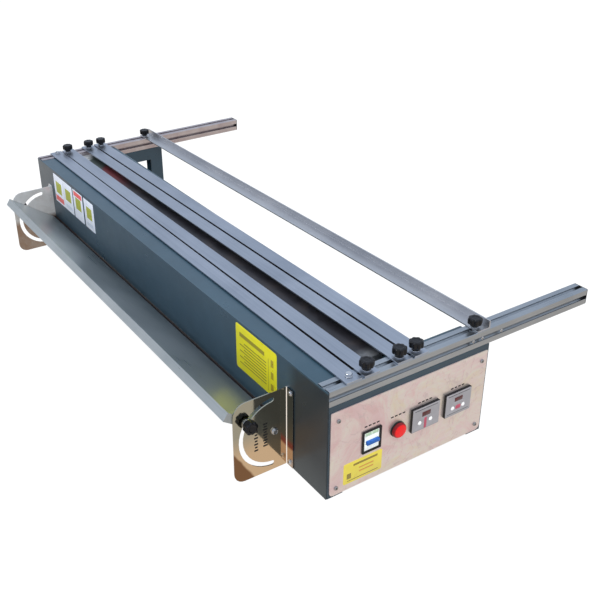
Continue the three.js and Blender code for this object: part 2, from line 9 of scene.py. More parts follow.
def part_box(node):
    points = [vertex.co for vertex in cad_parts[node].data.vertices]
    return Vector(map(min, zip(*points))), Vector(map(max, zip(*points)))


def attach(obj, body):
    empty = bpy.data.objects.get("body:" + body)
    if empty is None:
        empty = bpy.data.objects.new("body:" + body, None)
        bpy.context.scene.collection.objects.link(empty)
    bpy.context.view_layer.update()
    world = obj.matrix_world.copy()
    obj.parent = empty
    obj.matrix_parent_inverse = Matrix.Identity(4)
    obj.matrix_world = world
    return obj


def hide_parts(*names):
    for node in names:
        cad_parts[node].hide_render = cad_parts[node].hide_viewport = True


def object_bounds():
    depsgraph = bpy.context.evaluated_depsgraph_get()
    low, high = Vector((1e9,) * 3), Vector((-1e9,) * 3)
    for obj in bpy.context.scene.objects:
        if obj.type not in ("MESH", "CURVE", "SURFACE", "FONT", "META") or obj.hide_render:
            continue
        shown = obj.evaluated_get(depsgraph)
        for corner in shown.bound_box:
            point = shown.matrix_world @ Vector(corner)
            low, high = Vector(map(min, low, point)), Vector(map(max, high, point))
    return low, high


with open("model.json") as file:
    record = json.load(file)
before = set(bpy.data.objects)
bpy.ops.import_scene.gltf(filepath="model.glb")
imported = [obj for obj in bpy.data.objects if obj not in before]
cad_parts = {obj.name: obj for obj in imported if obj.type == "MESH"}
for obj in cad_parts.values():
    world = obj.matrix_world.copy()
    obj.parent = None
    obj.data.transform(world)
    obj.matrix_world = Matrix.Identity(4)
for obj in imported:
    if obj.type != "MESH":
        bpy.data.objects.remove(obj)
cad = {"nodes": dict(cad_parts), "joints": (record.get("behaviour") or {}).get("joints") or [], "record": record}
cad_low, cad_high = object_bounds()

MM = 0.001
SIDES = ("near", "far")
scene = bpy.context.scene
nodes = cad["nodes"]
BODY = {node: body for body, members in cad["record"]["behaviour"]["bodies"].items()
        for node in members}


def cad_box(node):
    """Low corner, high corner and centre of a CAD node."""
    low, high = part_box(node)
    return low, high, (low + high) / 2


def joint_place(name):
    return next(joint for joint in cad["joints"] if joint["name"] == name)["pos_m"]


def srgb(*levels):
    """Linear colour from 0-255 sRGB levels."""
    parts = (level / 255.0 for level in levels)
    return tuple(v / 12.92 if v <= 0.04045 else ((v + 0.055) / 1.055) ** 2.4 for v in parts)


def tint(colour, gain):
    return tuple(max(0.0, min(1.0, v * gain)) for v in colour)


# ------------------------------------------------------------------ shader helpers
class Shader:
    """Builds the node tree of a material or world. A value may be a number or a socket."""

    def __init__(self, owner):
        owner.use_nodes = True
        self.tree = owner.node_tree
        self.tree.nodes.clear()

    def put(self, socket, value):
        if isinstance(value, bpy.types.NodeSocket):
            self.tree.links.new(value, socket)
        elif isinstance(value, tuple) and len(value) == 3 and len(socket.default_value) == 4:
            socket.default_value = (*value, 1.0)
        else:
            socket.default_value = value

    def node(self, kind, inputs=None, **props):
        made = self.tree.nodes.new(kind)
        for key, value in props.items():
            setattr(made, key, value)
        for key, value in (inputs or {}).items():
            self.put(made.inputs[key], value)
        return made

    def mix(self, factor, base, other):
        inputs = {0: factor, 6: base, 7: other}
        return self.node("ShaderNodeMix", inputs, data_type="RGBA").outputs[2]

    def ramp(self, factor, stops):
        """stops are (position, colour), in rising order"""
        made = self.node("ShaderNodeValToRGB", {"Fac": factor})
        elements = made.color_ramp.elements
        while len(elements) < len(stops):
            elements.new(0.5)
        for element, (position, colour) in zip(elements, stops):
            element.position = position
            element.color = (*colour, 1.0)
        return made.outputs["Color"]


class Mat(Shader):
    """A Principled material with procedural detail in object space."""

    def __init__(self, name):
        self.material = bpy.data.materials.new(name)
        super().__init__(self.material)
        self.shader = self.node("ShaderNodeBsdfPrincipled")
        self.node("ShaderNodeOutputMaterial", {"Surface": self.shader.outputs["BSDF"]})
        self.position = self.node("ShaderNodeTexCoord").outputs["Object"]

    def set(self, **inputs):
        for key, value in inputs.items():
            self.put(self.shader.inputs[key.replace("_", " ")], value)

    def noise(self, scale=1.0, detail=3, rough=0.5, warp=0.0, stretch=None, turn=(0, 0, 0)):
        """stretch scales the three axes apart, turn rotates them in radians"""
        place = self.position
        if stretch:
            inputs = {"Vector": place, "Scale": stretch, "Rotation": turn}
            place = self.node("ShaderNodeMapping", inputs).outputs["Vector"]
        return self.node("ShaderNodeTexNoise", {
            "Scale": scale, "Detail": detail, "Roughness": rough, "Distortion": warp,
            "Vector": place}).outputs["Fac"]

    def remap(self, value, span, to=(0.0, 1.0)):
        """Clamped linear map from span onto to."""
        return self.node("ShaderNodeMapRange", {
            "Value": value, "From Min": span[0], "From Max": span[1],
            "To Min": to[0], "To Max": to[1]}).outputs["Result"]

    def math(self, operation, *values):
        inputs = dict(enumerate(values))
        return self.node("ShaderNodeMath", inputs, operation=operation).outputs[0]

    def add(self, a, b):
        return self.math("ADD", a, b)

    def sub(self, a, b):
        return self.math("SUBTRACT", a, b)

    def mul(self, a, b):
        return self.math("MULTIPLY", a, b)

    def xyz(self):
        return self.node("ShaderNodeSeparateXYZ", {0: self.position}).outputs

    def band(self, value, low, high):
        """1 between low and high, 0 outside."""
        return self.mul(self.math("GREATER_THAN", value, low), self.math("LESS_THAN", value, high))

    def edge(self, radius, full=0.25):
        """1 near a convex or concave edge, 0 on open faces; full sets where it reaches 1."""
        soft = self.node("ShaderNodeBevel", {"Radius": radius}, samples=4).outputs["Normal"]
        true = self.node("ShaderNodeNewGeometry").outputs["Normal"]
        dot = self.node("ShaderNodeVectorMath", {0: soft, 1: true}, operation="DOT_PRODUCT")
        return self.remap(self.sub(1.0, dot.outputs["Value"]), (0.02, full))

    def rub_and_highlight(self, colour, radius, amount, bare):
        """Mixes the bare colour in along the edges: worn edges and a painted edge highlight."""
        return self.mix(self.mul(self.edge(radius), amount), colour, bare)

    def bump(self, *layers):
        """layers are (height, strength, distance in metres)"""
        normal = None
        for height, strength, distance in layers:
            inputs = {"Strength": strength, "Distance": distance, "Height": height}
            if normal is not None:
                inputs["Normal"] = normal
            normal = self.node("ShaderNodeBump", inputs).outputs["Normal"]
        self.put(self.shader.inputs["Normal"], normal)


# ------------------------------------------------------------------ materials
TEAL = srgb(50, 74, 88)
SHADE_X = (0.520, 0.548)  # where the front panel turns darker towards the control box


def shade_panel_end(mat, tone, coat):
    """Darker, flatter length by the control plate, a painted dark reflection; and a painted shade line along the
    tray's edge.
    """
    x, _, z = mat.xyz()
    # painted dark reflection over the length by the control plate, lighter towards the bottom, with less coat
    end = mat.mix(mat.remap(z, (0.012, 0.070)), srgb(72, 80, 82), srgb(34, 42, 47))
    upright = mat.remap(z, (0.2050, 0.2070), to=(1.0, 0.0))
    tone = mat.mix(mat.mul(upright, mat.remap(x, SHADE_X, to=(0.0, 0.88))), tone, end)
    coat = mat.remap(x, SHADE_X, to=(coat, 0.05))
    # painted shade: a near-black line on the panel just above the tray's edge, with little gloss
    tray_low, tray_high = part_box("angle_tray")
    height = mat.mul(mat.remap(z, (0.0600, 0.0640)),
                     mat.remap(z, (0.0765, 0.0790), to=(1.0, 0.0)))
    line = mat.mul(mat.band(x, tray_low.x, tray_high.x), height)
    tone = mat.mix(line, tone, (0.012, 0.010, 0.013))
    coat = mat.mul(coat, mat.sub(1.0, line))
    mat.set(Specular_IOR_Level=mat.remap(line, (0.0, 1.0), to=(0.5, 0.05)))
    return tone, coat


def make_paint(name, wear_and_highlight=0.55, shaded_end=False):
    """Powder coat: orange peel, faint cloudiness, fine dust, lighter edges that are partly worn paint and partly
    a painted highlight.
    """
    mat = Mat(name)
    clouds = mat.noise(3.1, detail=3, rough=0.55)
    mottle = mat.noise(31.0, detail=5, rough=0.62)
    tone = mat.ramp(mat.add(mat.mul(clouds, 0.7), mat.mul(mottle, 0.3)),
                    [(0.36, tint(TEAL, 0.86)), (0.52, TEAL), (0.66, tint(TEAL, 1.16))])
    dust = mat.remap(mat.noise(620.0, detail=2), (0.68, 0.80), to=(0.0, 0.05))
    tone = mat.mix(dust, tone, srgb(150, 158, 160))
    coat = 0.35
    if shaded_end:
        tone, coat = shade_panel_end(mat, tone, coat)
    # edges lightened in patches: partly worn paint, partly a painted rim highlight
    patches = mat.remap(mat.noise(85.0, detail=4, rough=0.65), (0.34, 0.58), to=(0.25, 1.0))
    rubbed_and_highlit = mat.mul(mat.edge(0.0011, full=0.22), patches)
    tone = mat.mix(mat.mul(rubbed_and_highlit, wear_and_highlight), tone, srgb(148, 162, 168))
    gloss = mat.noise(14.0, detail=4, rough=0.6)
    mat.set(Base_Color=tone, Metallic=0.0, IOR=1.5,
            Roughness=mat.remap(gloss, (0.3, 0.7), to=(0.26, 0.40)), Coat_Weight=coat,
            Coat_Roughness=mat.remap(mottle, (0.3, 0.7), to=(0.10, 0.22)))
    mat.bump((mat.noise(420.0, detail=2), 0.16, 0.00025),
             (mat.noise(1900.0, detail=2), 0.10, 0.00008))
    return mat.material


def make_metal(name, dark, light, rough, axis="X", line=1.0, cloud=6.0, peel=0.0, bright=0.35,
               metallic=1.0, grain=0.0, along=3.0, seam=False):
    """Rolled or brushed metal with streaks, clouds, lighter edges (partly worn, partly a painted highlight) and
    scratches.

    axis: way of the streaks; along: their scale that way; line: streak relief;
    cloud: cloud scale; peel and grain: coarse and fine relief; bright: worn edges and painted edge highlight;
    seam: painted shade line in the fold along the tray's inner edge.
    """
    mat = Mat(name)

    def brushed(scale, across):
        return tuple(scale if letter == axis else across for letter in "XYZ")

    streak = mat.noise(detail=4, rough=0.6, stretch=brushed(along, 260.0))
    fine = mat.noise(detail=3, rough=0.65, stretch=brushed(along * 6, 1500.0))
    clouds = mat.noise(cloud, detail=4, rough=0.6, warp=0.4)
    colour = mat.ramp(mat.add(mat.mul(clouds, 0.62), mat.mul(streak, 0.38)),
                      [(0.34, dark), (0.66, light)])
    hairs = mat.noise(detail=1, warp=0.2, stretch=(55, 900, 900), turn=(0.3, 0.2, 0.72))
    scratch = mat.mul(mat.remap(hairs, (0.70, 0.74)),
                      mat.remap(mat.noise(17.0, detail=2), (0.48, 0.62)))
    colour = mat.mix(mat.mul(scratch, 0.25), colour, tint(light, 1.2))
    colour = mat.rub_and_highlight(colour, radius=0.0007, amount=bright, bare=(0.93, 0.94, 0.96))
    if seam:
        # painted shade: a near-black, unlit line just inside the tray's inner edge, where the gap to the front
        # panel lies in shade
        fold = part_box("angle_tray")[1].y
        seam_shade = mat.remap(mat.xyz()[1], (fold - 0.0062, fold - 0.0040))
        colour = mat.mix(seam_shade, colour, (0.016, 0.013, 0.018))
        metallic = mat.mul(mat.sub(1.0, seam_shade), metallic)
        mat.set(Specular_IOR_Level=mat.remap(seam_shade, (0.0, 1.0), to=(0.5, 0.0)))
    roughness = mat.add(mat.remap(clouds, (0.3, 0.7), to=rough),
                        mat.remap(streak, (0.3, 0.7), to=(-0.03, 0.05)))
    mat.set(Base_Color=colour, Metallic=metallic,
            Roughness=mat.add(roughness, mat.mul(scratch, 0.1)))
    layers = [(fine, 0.10 * line, 0.00005), (streak, 0.08 * line, 0.00012)]
    if peel:
        layers.append((mat.noise(9.0, detail=2), peel, 0.0012))
    if grain:
        layers.append((mat.noise(700.0, detail=3, rough=0.6), grain, 0.00010))
    mat.bump(*layers)
    return mat.material


def make_plastic(name, base, rough=(0.32, 0.46), grain=0.25, coat=0.0, spec=0.5, vary=0.12,
                 painted_glow=0.0):
    """Moulded plastic; vary is the tone's spread, lift a painted glow of its own colour that brightens it beyond
    the lamps.
    """
    mat = Mat(name)
    colour = mat.ramp(mat.noise(60.0, detail=4, rough=0.6),
                      [(0.32, tint(base, 1 - vary)), (0.68, tint(base, 1 + vary))])
    colour = mat.rub_and_highlight(colour, radius=0.0006, amount=0.28,
                     bare=tuple(min(1.0, v * 1.6 + 0.03) for v in base))
    gloss = mat.noise(240.0, detail=3, rough=0.55)
    mat.set(Base_Color=colour, Roughness=mat.remap(gloss, (0.3, 0.7), to=rough),
            Coat_Weight=coat, Coat_Roughness=0.08, Specular_IOR_Level=spec,
            Emission_Color=colour, Emission_Strength=painted_glow)
    mat.bump((mat.noise(1700.0, detail=2, rough=0.55), grain, 0.00006),
             (mat.noise(130.0, detail=2), 0.05, 0.0002))
    return mat.material


def near_bracket_reflections(mat, low, high, height, waver):
    """Colour of the near bracket, painted with reflections, and a mask of the painted highlight on its fold."""
    x, y, _ = mat.coords
    reach = mat.add(mat.sub(y, low.y), waver)  # from the free edge
    # painted reflections of the floor: tan low down, pale olive higher up, and brown in the corner by the free
    # edge where the floor lies in shade
    colour = mat.mix(mat.remap(height, (0.050, 0.095)), (0.90, 0.66, 0.42), (0.52, 0.50, 0.40))
    corner = mat.add(mat.mul(reach, 1.632), height)
    colour = mat.mix(mat.remap(corner, (0.060, 0.0665), to=(1.0, 0.0)), colour,
                     (0.30, 0.16, 0.08))
    # the flange: painted reflections, dark above and warm in its lower third
    web = mat.math("LESS_THAN", y, high.y - 0.0025)
    flange = mat.mix(mat.remap(height, (0.034, 0.040)), (0.66, 0.52, 0.42), (0.24, 0.05, 0.05))
    flange = mat.mix(mat.remap(height, (0.046, 0.056)), flange, (0.085, 0.10, 0.105))
    colour = mat.mix(web, flange, colour)
    # painted highlight: a thin bright line along the fold, which also glows
    fold = mat.mul(mat.math("GREATER_THAN", y, high.y - 0.0032),
                   mat.math("LESS_THAN", x, low.x + 0.0032))
    return mat.mix(fold, colour, (0.97, 0.93, 0.88)), fold


def make_bracket(name, side):
    """Polished stainless sheet: slight waviness, smudges, and warm painted reflections of the floor."""
    mat = Mat(name)
    mat.coords = mat.xyz()
    low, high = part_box(f"tray_bracket_{side}")
    waver = mat.mul(mat.sub(mat.noise(14.0, detail=3, rough=0.6), 0.5), 0.012)
    height = mat.add(mat.sub(mat.coords[2], low.z), waver)
    smudge = mat.noise(38.0, detail=5, rough=0.65, warp=0.5)
    if side == "near":
        colour, fold = near_bracket_reflections(mat, low, high, height, waver)
        roughness = (0.045, 0.14)
    else:
        # far bracket: painted reflections, brown low down and pale grey above; the pale part is less metallic
        # and lifted by a painted glow
        upper = (0.072, 0.088)
        colour = mat.mix(mat.remap(height, upper), (0.36, 0.26, 0.20), (0.66, 0.66, 0.65))
        colour = mat.mix(mat.remap(smudge, (0.4, 0.62), to=(0.0, 0.45)), colour,
                         (0.50, 0.47, 0.44))
        dull = mat.remap(height, upper, to=(0.0, 0.75))
        roughness = (0.16, 0.30)
    colour = mat.rub_and_highlight(colour, radius=0.0006, amount=0.6, bare=(0.95, 0.93, 0.9))
    mat.set(Base_Color=colour, Metallic=1.0,
            Roughness=mat.remap(smudge, (0.35, 0.75), to=roughness))
    # painted light: the near fold's highlight glows, and the far bracket's pale upper part glows
    if side == "near":
        mat.set(Emission_Color=(0.97, 0.93, 0.88), Emission_Strength=mat.mul(fold, 0.22))
    else:
        mat.set(Metallic=mat.sub(1.0, dull), Emission_Color=colour,
                Emission_Strength=mat.mul(dull, 0.22))
    rolled = mat.noise(detail=3, rough=0.6, stretch=(1500.0, 9.0, 1500.0))
    mat.bump((mat.noise(6.0, detail=2), 0.20, 0.0012), (rolled, 0.03, 0.00004))
    return mat.material


def make_panel():
    """Control plate: pinkish mottled stainless with dull veins and a vertical grain."""
    mat = Mat("panel_stainless")
    wide = mat.noise(9.0, detail=5, rough=0.62, warp=1.4)
    mottle = mat.noise(38.0, detail=5, rough=0.66, warp=0.8)
    folds = mat.noise(11.0, detail=4, rough=0.62, warp=1.8)
    colour = mat.ramp(wide, [(0.34, (0.92, 0.66, 0.66)), (0.45, (0.99, 0.83, 0.79)),
                             (0.53, (1.0, 0.92, 0.84)), (0.64, (0.95, 0.84, 0.68))])
    colour = mat.mix(mat.remap(mottle, (0.40, 0.64), to=(0.0, 0.55)), colour, (1.0, 0.80, 0.82))
    vein = mat.remap(mat.math("ABSOLUTE", mat.sub(folds, 0.5)), (0.0, 0.022), to=(1.0, 0.0))
    vein_depth = mat.remap(mottle, (0.4, 0.6), to=(0.05, 0.40))
    colour = mat.mix(mat.mul(vein, vein_depth), colour, (0.62, 0.52, 0.50))
    streak = mat.noise(detail=4, rough=0.6, stretch=(900.0, 4.0, 900.0))
    colour = mat.mix(mat.remap(streak, (0.4, 0.7), to=(0.0, 0.18)), colour, (0.70, 0.61, 0.57))
    colour = mat.rub_and_highlight(colour, radius=0.0007, amount=0.6, bare=(0.96, 0.94, 0.93))
    # a faint painted glow of the plate's own colour brightens it
    mat.set(Base_Color=colour, Metallic=0.80,
            Roughness=mat.remap(mottle, (0.3, 0.7), to=(0.28, 0.42)),
            Emission_Color=colour, Emission_Strength=0.055)
    mat.bump((streak, 0.07, 0.00006), (mat.noise(22.0, detail=3, rough=0.55), 0.08, 0.0008),
             (folds, 0.06, 0.0006))
    return mat.material


def make_shield():
    """Dark sheet: silver at the far end, then a grey-green and a reddish patch; a painted glow lifts the silver
    end, and painted highlights streak the near end.
    """
    mat = Mat("heat_shield_dark")
    x, y, _ = mat.xyz()
    middle = cad_box("heat_shield")[2].y
    clouds = mat.noise(13.0, detail=5, rough=0.62, warp=0.5)
    colour = mat.ramp(clouds, [(0.32, srgb(38, 37, 41)), (0.52, srgb(50, 49, 54)),
                               (0.70, srgb(66, 60, 60))])
    waver = mat.mul(mat.sub(mat.noise(26.0, detail=3, rough=0.6), 0.5), 0.03)
    # the patches' borders slant across the sheet
    run = mat.add(mat.add(x, waver), mat.mul(mat.sub(y, (middle)), 1.35))
    red = mat.mul(mat.remap(run, (-0.492, -0.474)),
                  mat.remap(run, (-0.420, -0.320), to=(1.0, 0.0)))
    colour = mat.mix(mat.mul(red, 0.80), colour, srgb(120, 54, 58))
    dark = mat.mul(mat.remap(run, (-0.572, -0.558)),
                   mat.remap(run, (-0.492, -0.478), to=(1.0, 0.0)))
    colour = mat.mix(mat.mul(dark, 0.8), colour, srgb(75, 85, 80))
    # silver at the far end, lifted by a painted glow
    bare = mat.remap(run, (-0.572, -0.556), to=(1.0, 0.0))
    # painted highlights: bright silver streaks at the near end
    near_end_highlight = mat.mul(mat.remap(x, (0.548, 0.566)), 0.32)
    light = mat.math("MAXIMUM", bare, near_end_highlight)
    fine = mat.noise(60.0, detail=4, rough=0.6, warp=0.8)
    silver = mat.ramp(fine, [(0.34, srgb(132, 136, 138)), (0.50, srgb(170, 174, 178)),
                             (0.66, srgb(196, 198, 200))])
    colour = mat.mix(light, colour, silver)
    mat.set(Base_Color=colour, Metallic=mat.remap(light, (0.0, 1.0), to=(0.35, 0.55)),
            Roughness=mat.remap(clouds, (0.3, 0.7), to=(0.30, 0.48)),
            Emission_Color=colour, Emission_Strength=mat.mul(bare, 0.30))
    rolled = mat.noise(detail=4, rough=0.6, stretch=(14.0, 160.0, 160.0))
    mat.bump((mat.noise(7.0, detail=2), 0.35, 0.002), (rolled, 0.15, 0.0004),
             (mat.mul(fine, near_end_highlight), 0.6, 0.0015))
    return mat.material


def make_channel():
    """Dark, unevenly warm metal of the heater channels."""
    mat = Mat("heater_channel")
    clouds = mat.noise(11.0, detail=5, rough=0.6, warp=0.6)
    colour = mat.ramp(clouds, [(0.30, (0.05, 0.045, 0.05)), (0.50, (0.13, 0.10, 0.08)),
                               (0.70, (0.20, 0.16, 0.13))])
    mat.set(Base_Color=colour, Metallic=1.0,
            Roughness=mat.remap(clouds, (0.3, 0.7), to=(0.22, 0.40)))
    mat.bump((mat.noise(8.0, detail=2), 0.3, 0.0015))
    return mat.material


def make_quartz():
    """Glossy tube with a coil showing as bands along X."""
    mat = Mat("quartz_tube")
    coil = mat.math("SINE", mat.mul(mat.xyz()[0], 2200.0))
    colour = mat.mix(mat.remap(coil, (-0.2, 0.9), to=(0.0, 0.8)),
                     srgb(214, 170, 140), srgb(120, 52, 30))
    mat.set(Base_Color=colour, Roughness=0.12, Coat_Weight=0.8, Coat_Roughness=0.04,
            Subsurface_Weight=0.2, Subsurface_Radius=(0.004, 0.002, 0.001))
    mat.bump((coil, 0.2, 0.0003))
    return mat.material


def make_lamp():
    """Red moulded lens: bright core, fine ribs, glossy skin."""
    mat = Mat("lamp_red")
    centre = cad_box("pilot_lamp_lens")[2]
    _, y, z = mat.xyz()
    across, height = mat.sub(y, centre.y), mat.sub(z, centre.z)
    radius = mat.math("SQRT", mat.add(mat.mul(across, across), mat.mul(height, height)))
    core = mat.remap(radius, (0.0108, 0.0132), to=(1.0, 0.0))
    colour = mat.mix(core, srgb(118, 6, 14), srgb(236, 14, 22))
    rib = mat.math("SINE", mat.mul(radius, 5200.0))
    mat.set(Base_Color=colour, Roughness=0.14, Coat_Weight=0.35, Coat_Roughness=0.05,
            Specular_IOR_Level=0.3, Subsurface_Weight=0.25,
            Subsurface_Radius=(0.01, 0.002, 0.001),
            Emission_Color=colour, Emission_Strength=0.42)
    mat.bump((rib, 0.10, 0.0002))
    return mat.material


def make_screen():
    """Dark red display window."""
    mat = Mat("display_red")
    colour = mat.ramp(mat.noise(160.0, detail=3, rough=0.6),
                      [(0.3, srgb(74, 14, 20)), (0.55, srgb(98, 20, 28)),
                       (0.72, srgb(116, 28, 36))])
    mat.set(Base_Color=colour, Roughness=0.16, Coat_Weight=0.6, Coat_Roughness=0.04,
            Emission_Color=colour, Emission_Strength=0.06)
    mat.bump((mat.noise(900.0, detail=2), 0.05, 0.00005))
    return mat.material


paint = make_paint("paint_teal")
paint_front = make_paint("paint_teal_front", wear_and_highlight=0.7, shaded_end=True)
plate_metal = make_metal("plate_aluminium", (0.43, 0.47, 0.54), (0.60, 0.64, 0.72),
                         rough=(0.30, 0.42), cloud=5.0, bright=0.8, grain=0.10)
stop_metal = make_metal("stop_aluminium", (0.62, 0.62, 0.64), (0.78, 0.77, 0.78),
                        rough=(0.34, 0.46), line=1.2, cloud=7.0, bright=0.5)
rail_metal = make_metal("rail_aluminium", (0.42, 0.45, 0.48), (0.56, 0.59, 0.62),
                        rough=(0.26, 0.36), axis="Y", line=1.3, cloud=8.0, bright=0.85)
# the far rail's copy is tinted pink: a painted reflection on the same aluminium
far_rail_metal = make_metal("rail_aluminium_far", (0.50, 0.41, 0.43), (0.74, 0.68, 0.68),
                            rough=(0.26, 0.36), axis="Y", line=1.3, cloud=22.0, bright=0.75)
tray_metal = make_metal("tray_stainless", (0.40, 0.45, 0.47), (0.56, 0.60, 0.62),
                        rough=(0.27, 0.36), line=0.5, peel=0.06, bright=0.45,
                        metallic=0.80, seam=True)
steel = make_metal("bright_steel", (0.66, 0.66, 0.68), (0.86, 0.86, 0.87), rough=(0.12, 0.24),
                   axis="Z", line=0.5, cloud=40.0, bright=0.3, along=60.0)
steel_dull = make_metal("dull_steel", (0.40, 0.40, 0.41), (0.58, 0.58, 0.58),
                        rough=(0.28, 0.42), axis="Z", line=0.5, cloud=60.0, bright=0.2,
                        along=60.0)
knob_black = make_plastic("knob_black", (0.006, 0.006, 0.008), rough=(0.20, 0.30), grain=0.10,
                          coat=0.05, spec=0.34)
black = make_plastic("plastic_black", (0.009, 0.009, 0.010), rough=(0.36, 0.48), grain=0.22,
                     spec=0.4)
# near-black material for the inside of cross recesses: painted shade
recess_painted_shade = make_plastic("recess_painted_shade", (0.006, 0.006, 0.006), rough=(0.5, 0.65), grain=0.1,
                           spec=0.2)
white = make_plastic("breaker_white", srgb(238, 242, 238), rough=(0.34, 0.44), grain=0.12,
                     spec=0.4, vary=0.03, painted_glow=0.34)
blue = make_plastic("toggle_blue", srgb(34, 104, 192), rough=(0.26, 0.34), grain=0.1, coat=0.3,
                    painted_glow=0.15)
grey = make_plastic("controller_grey", srgb(186, 182, 184), rough=(0.40, 0.52), grain=0.3,
                    vary=0.05, painted_glow=0.10)
button_white = make_plastic("button_white", srgb(250, 250, 249), rough=(0.26, 0.34),
                            grain=0.06, coat=0.3, vary=0.02, painted_glow=0.45)
pink = make_plastic("key_pink", srgb(214, 96, 118), rough=(0.34, 0.42), grain=0.08, vary=0.05,
                    painted_glow=0.12)
ceramic = make_plastic("ceramic", srgb(222, 214, 200), rough=(0.5, 0.65), grain=0.5, vary=0.06)
bracket_metal = make_bracket("bracket_stainless", "near")
far_bracket_metal = make_bracket("bracket_stainless_far", "far")
panel_metal = make_panel()
shield_metal = make_shield()
channel_metal = make_channel()
quartz = make_quartz()
lamp_red = make_lamp()
screen_red = make_screen()


# ------------------------------------------------------------------ finish of the CAD nodes
def weld_group():
    """Node group that drops imported shading data and merges the facets' vertices."""
    group = bpy.data.node_groups.new("weld_faces", "GeometryNodeTree")
    for way in ("INPUT", "OUTPUT"):
        group.interface.new_socket(name="Geometry", in_out=way,
                                   socket_type="NodeSocketGeometry")
    last = group.nodes.new("NodeGroupInput").outputs[0]

    def then(kind, **inputs):
        node = group.nodes.new(kind)
        for key, value in inputs.items():
            node.inputs[key].default_value = value
        group.links.new(last, node.inputs[0])
        return node.outputs[0] if node.outputs else None

    for attribute in ("custom_normal", "sharp_edge", "sharp_face"):
        last = then("GeometryNodeRemoveAttribute", Name=attribute)
    last = then("GeometryNodeMergeByDistance", Distance=2e-6)
    last = then("GeometryNodeSetShadeSmooth")
    then("NodeGroupOutput")
    return group


WELD = weld_group()


def dress(node, material, radius, segments=2):
    """A CAD node keeps its shape and gets a material and edges rounded by radius in mm."""
    piece = nodes[node]
    for slot in piece.material_slots:
        slot.material = material
    piece.modifiers.new("weld", "NODES").node_group = WELD
    planar = piece.modifiers.new("planar", "DECIMATE")
    planar.decimate_type = "DISSOLVE"
    planar.angle_limit = math.radians(0.5)
    bevel = piece.modifiers.new("round", "BEVEL")
    bevel.width = radius * MM
    bevel.segments = segments
    bevel.limit_method = "ANGLE"
    bevel.angle_limit = math.radians(28)
    piece.modifiers.new("shade", "WEIGHTED_NORMAL").weight = 60


FINISHES = [  # material, edge radius in mm, bevel segments, CAD nodes
    (paint_front, 0.9, 3, "front_panel"),
    (paint, 0.9, 3, "far_end_frame"),
    (paint, 0.8, 3, "control_box_shell", "back_panel"),
    (paint, 0.5, 2, "base_plate"),
    (panel_metal, 0.35, 2, "control_panel_plate"),
    (plate_metal, 0.35, 2, "slit_plate_1", "slit_plate_2", "slit_plate_3", "slit_plate_4"),
    (stop_metal, 0.5, 3, "backstop_bar"),
    (rail_metal, 0.22, 2, "near_rail"),
    (far_rail_metal, 0.22, 2, "far_rail"),
    (bracket_metal, 0.35, 2, "tray_bracket_near"),
    (far_bracket_metal, 0.35, 2, "tray_bracket_far"),
    (tray_metal, 0.7, 3, "angle_tray"),
    (shield_metal, 0.4, 2, "heat_shield"),
    (channel_metal, 0.4, 2, "heater_channel_front", "heater_channel_rear"),
    (black, 0.5, 3, "breaker_bezel"),
    (white, 0.35, 2, "breaker_body"),
    (black, 0.5, 2, "terminal_strip"),
    (steel_dull, 0.3, 2, *(f"{part}_tnut_{side}" for side in SIDES
                           for part in ("plate_2", "plate_3", "plate_4", "backstop"))),
]
for material, radius, segments, *names in FINISHES:
    for node in names:
        dress(node, material, radius, segments)


# ------------------------------------------------------------------ mesh tools
# Sizes are in mm; place is the matrix that sets a local shape into the machine.
def shade_smooth(data, sharp):
    for face in data.polygons:
        face.use_smooth = True
    data.set_sharp_from_angle(angle=math.radians(sharp))


def finish_piece(name, mesh, material, body="cabinet", sharp=38, replaces=None):
    """Object from a bmesh; edges steeper than sharp degrees stay crisp."""
    bmesh.ops.recalc_face_normals(mesh, faces=mesh.faces[:])
    data = bpy.data.meshes.new(name)
    mesh.to_mesh(data)
    mesh.free()
    data.materials.append(material)
    shade_smooth(data, sharp)
    piece = bpy.data.objects.new(name, data)
    scene.collection.objects.link(piece)
    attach(piece, body)
    if replaces:
        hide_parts(replaces)
    return piece


def axis_frame(origin, direction):
    """Matrix whose +Z is direction and whose +X is level."""
    out = Vector(direction).normalized()
    across = Vector((0, 0, 1)).cross(out)
    if across.length < 1e-6:
        across = Vector((1, 0, 0))
    across.normalize()
    place = Matrix((across, out.cross(across), out)).transposed().to_4x4()
    place.translation = Vector(origin)
    return place


def turned(place, angle):
    return place @ Matrix.Rotation(angle, 4, "Z")


def loft(mesh, rings, closed=False):
    """Skin between rings of equal length; a ring of one vertex is a tip."""
    pairs = list(zip(rings, rings[1:])) + ([(rings[-1], rings[0])] if closed else [])
    for a, b in pairs:
        count = max(len(a), len(b))
        for i in range(count):
            j = (i + 1) % count
            if len(a) == 1:
                mesh.faces.new((a[0], b[i], b[j]))
            elif len(b) == 1:
                mesh.faces.new((a[i], a[j], b[0]))
            else:
                mesh.faces.new((a[i], a[j], b[j], b[i]))


def ring(mesh, place, radius, z, count, shape=None):
    """Ring of vertices; shape gives a radius factor for each angle."""
    if not radius:
        return [mesh.verts.new(place @ Vector((0, 0, z * MM)))]
    verts = []
    for i in range(count):
        angle = 2 * math.pi * i / count
        reach = radius * MM * (shape(angle) if shape else 1.0)
        point = Vector((reach * math.cos(angle), reach * math.sin(angle), z * MM))
        verts.append(mesh.verts.new(place @ point))
    return verts


def lathe(mesh, place, profile, count=40, closed=False):
    """profile of (radius, z) or (radius, z, shape), from axis to axis or a closed loop"""
    rings = [ring(mesh, place, radius, z, count, *shape) for radius, z, *shape in profile]
    loft(mesh, rings, closed)


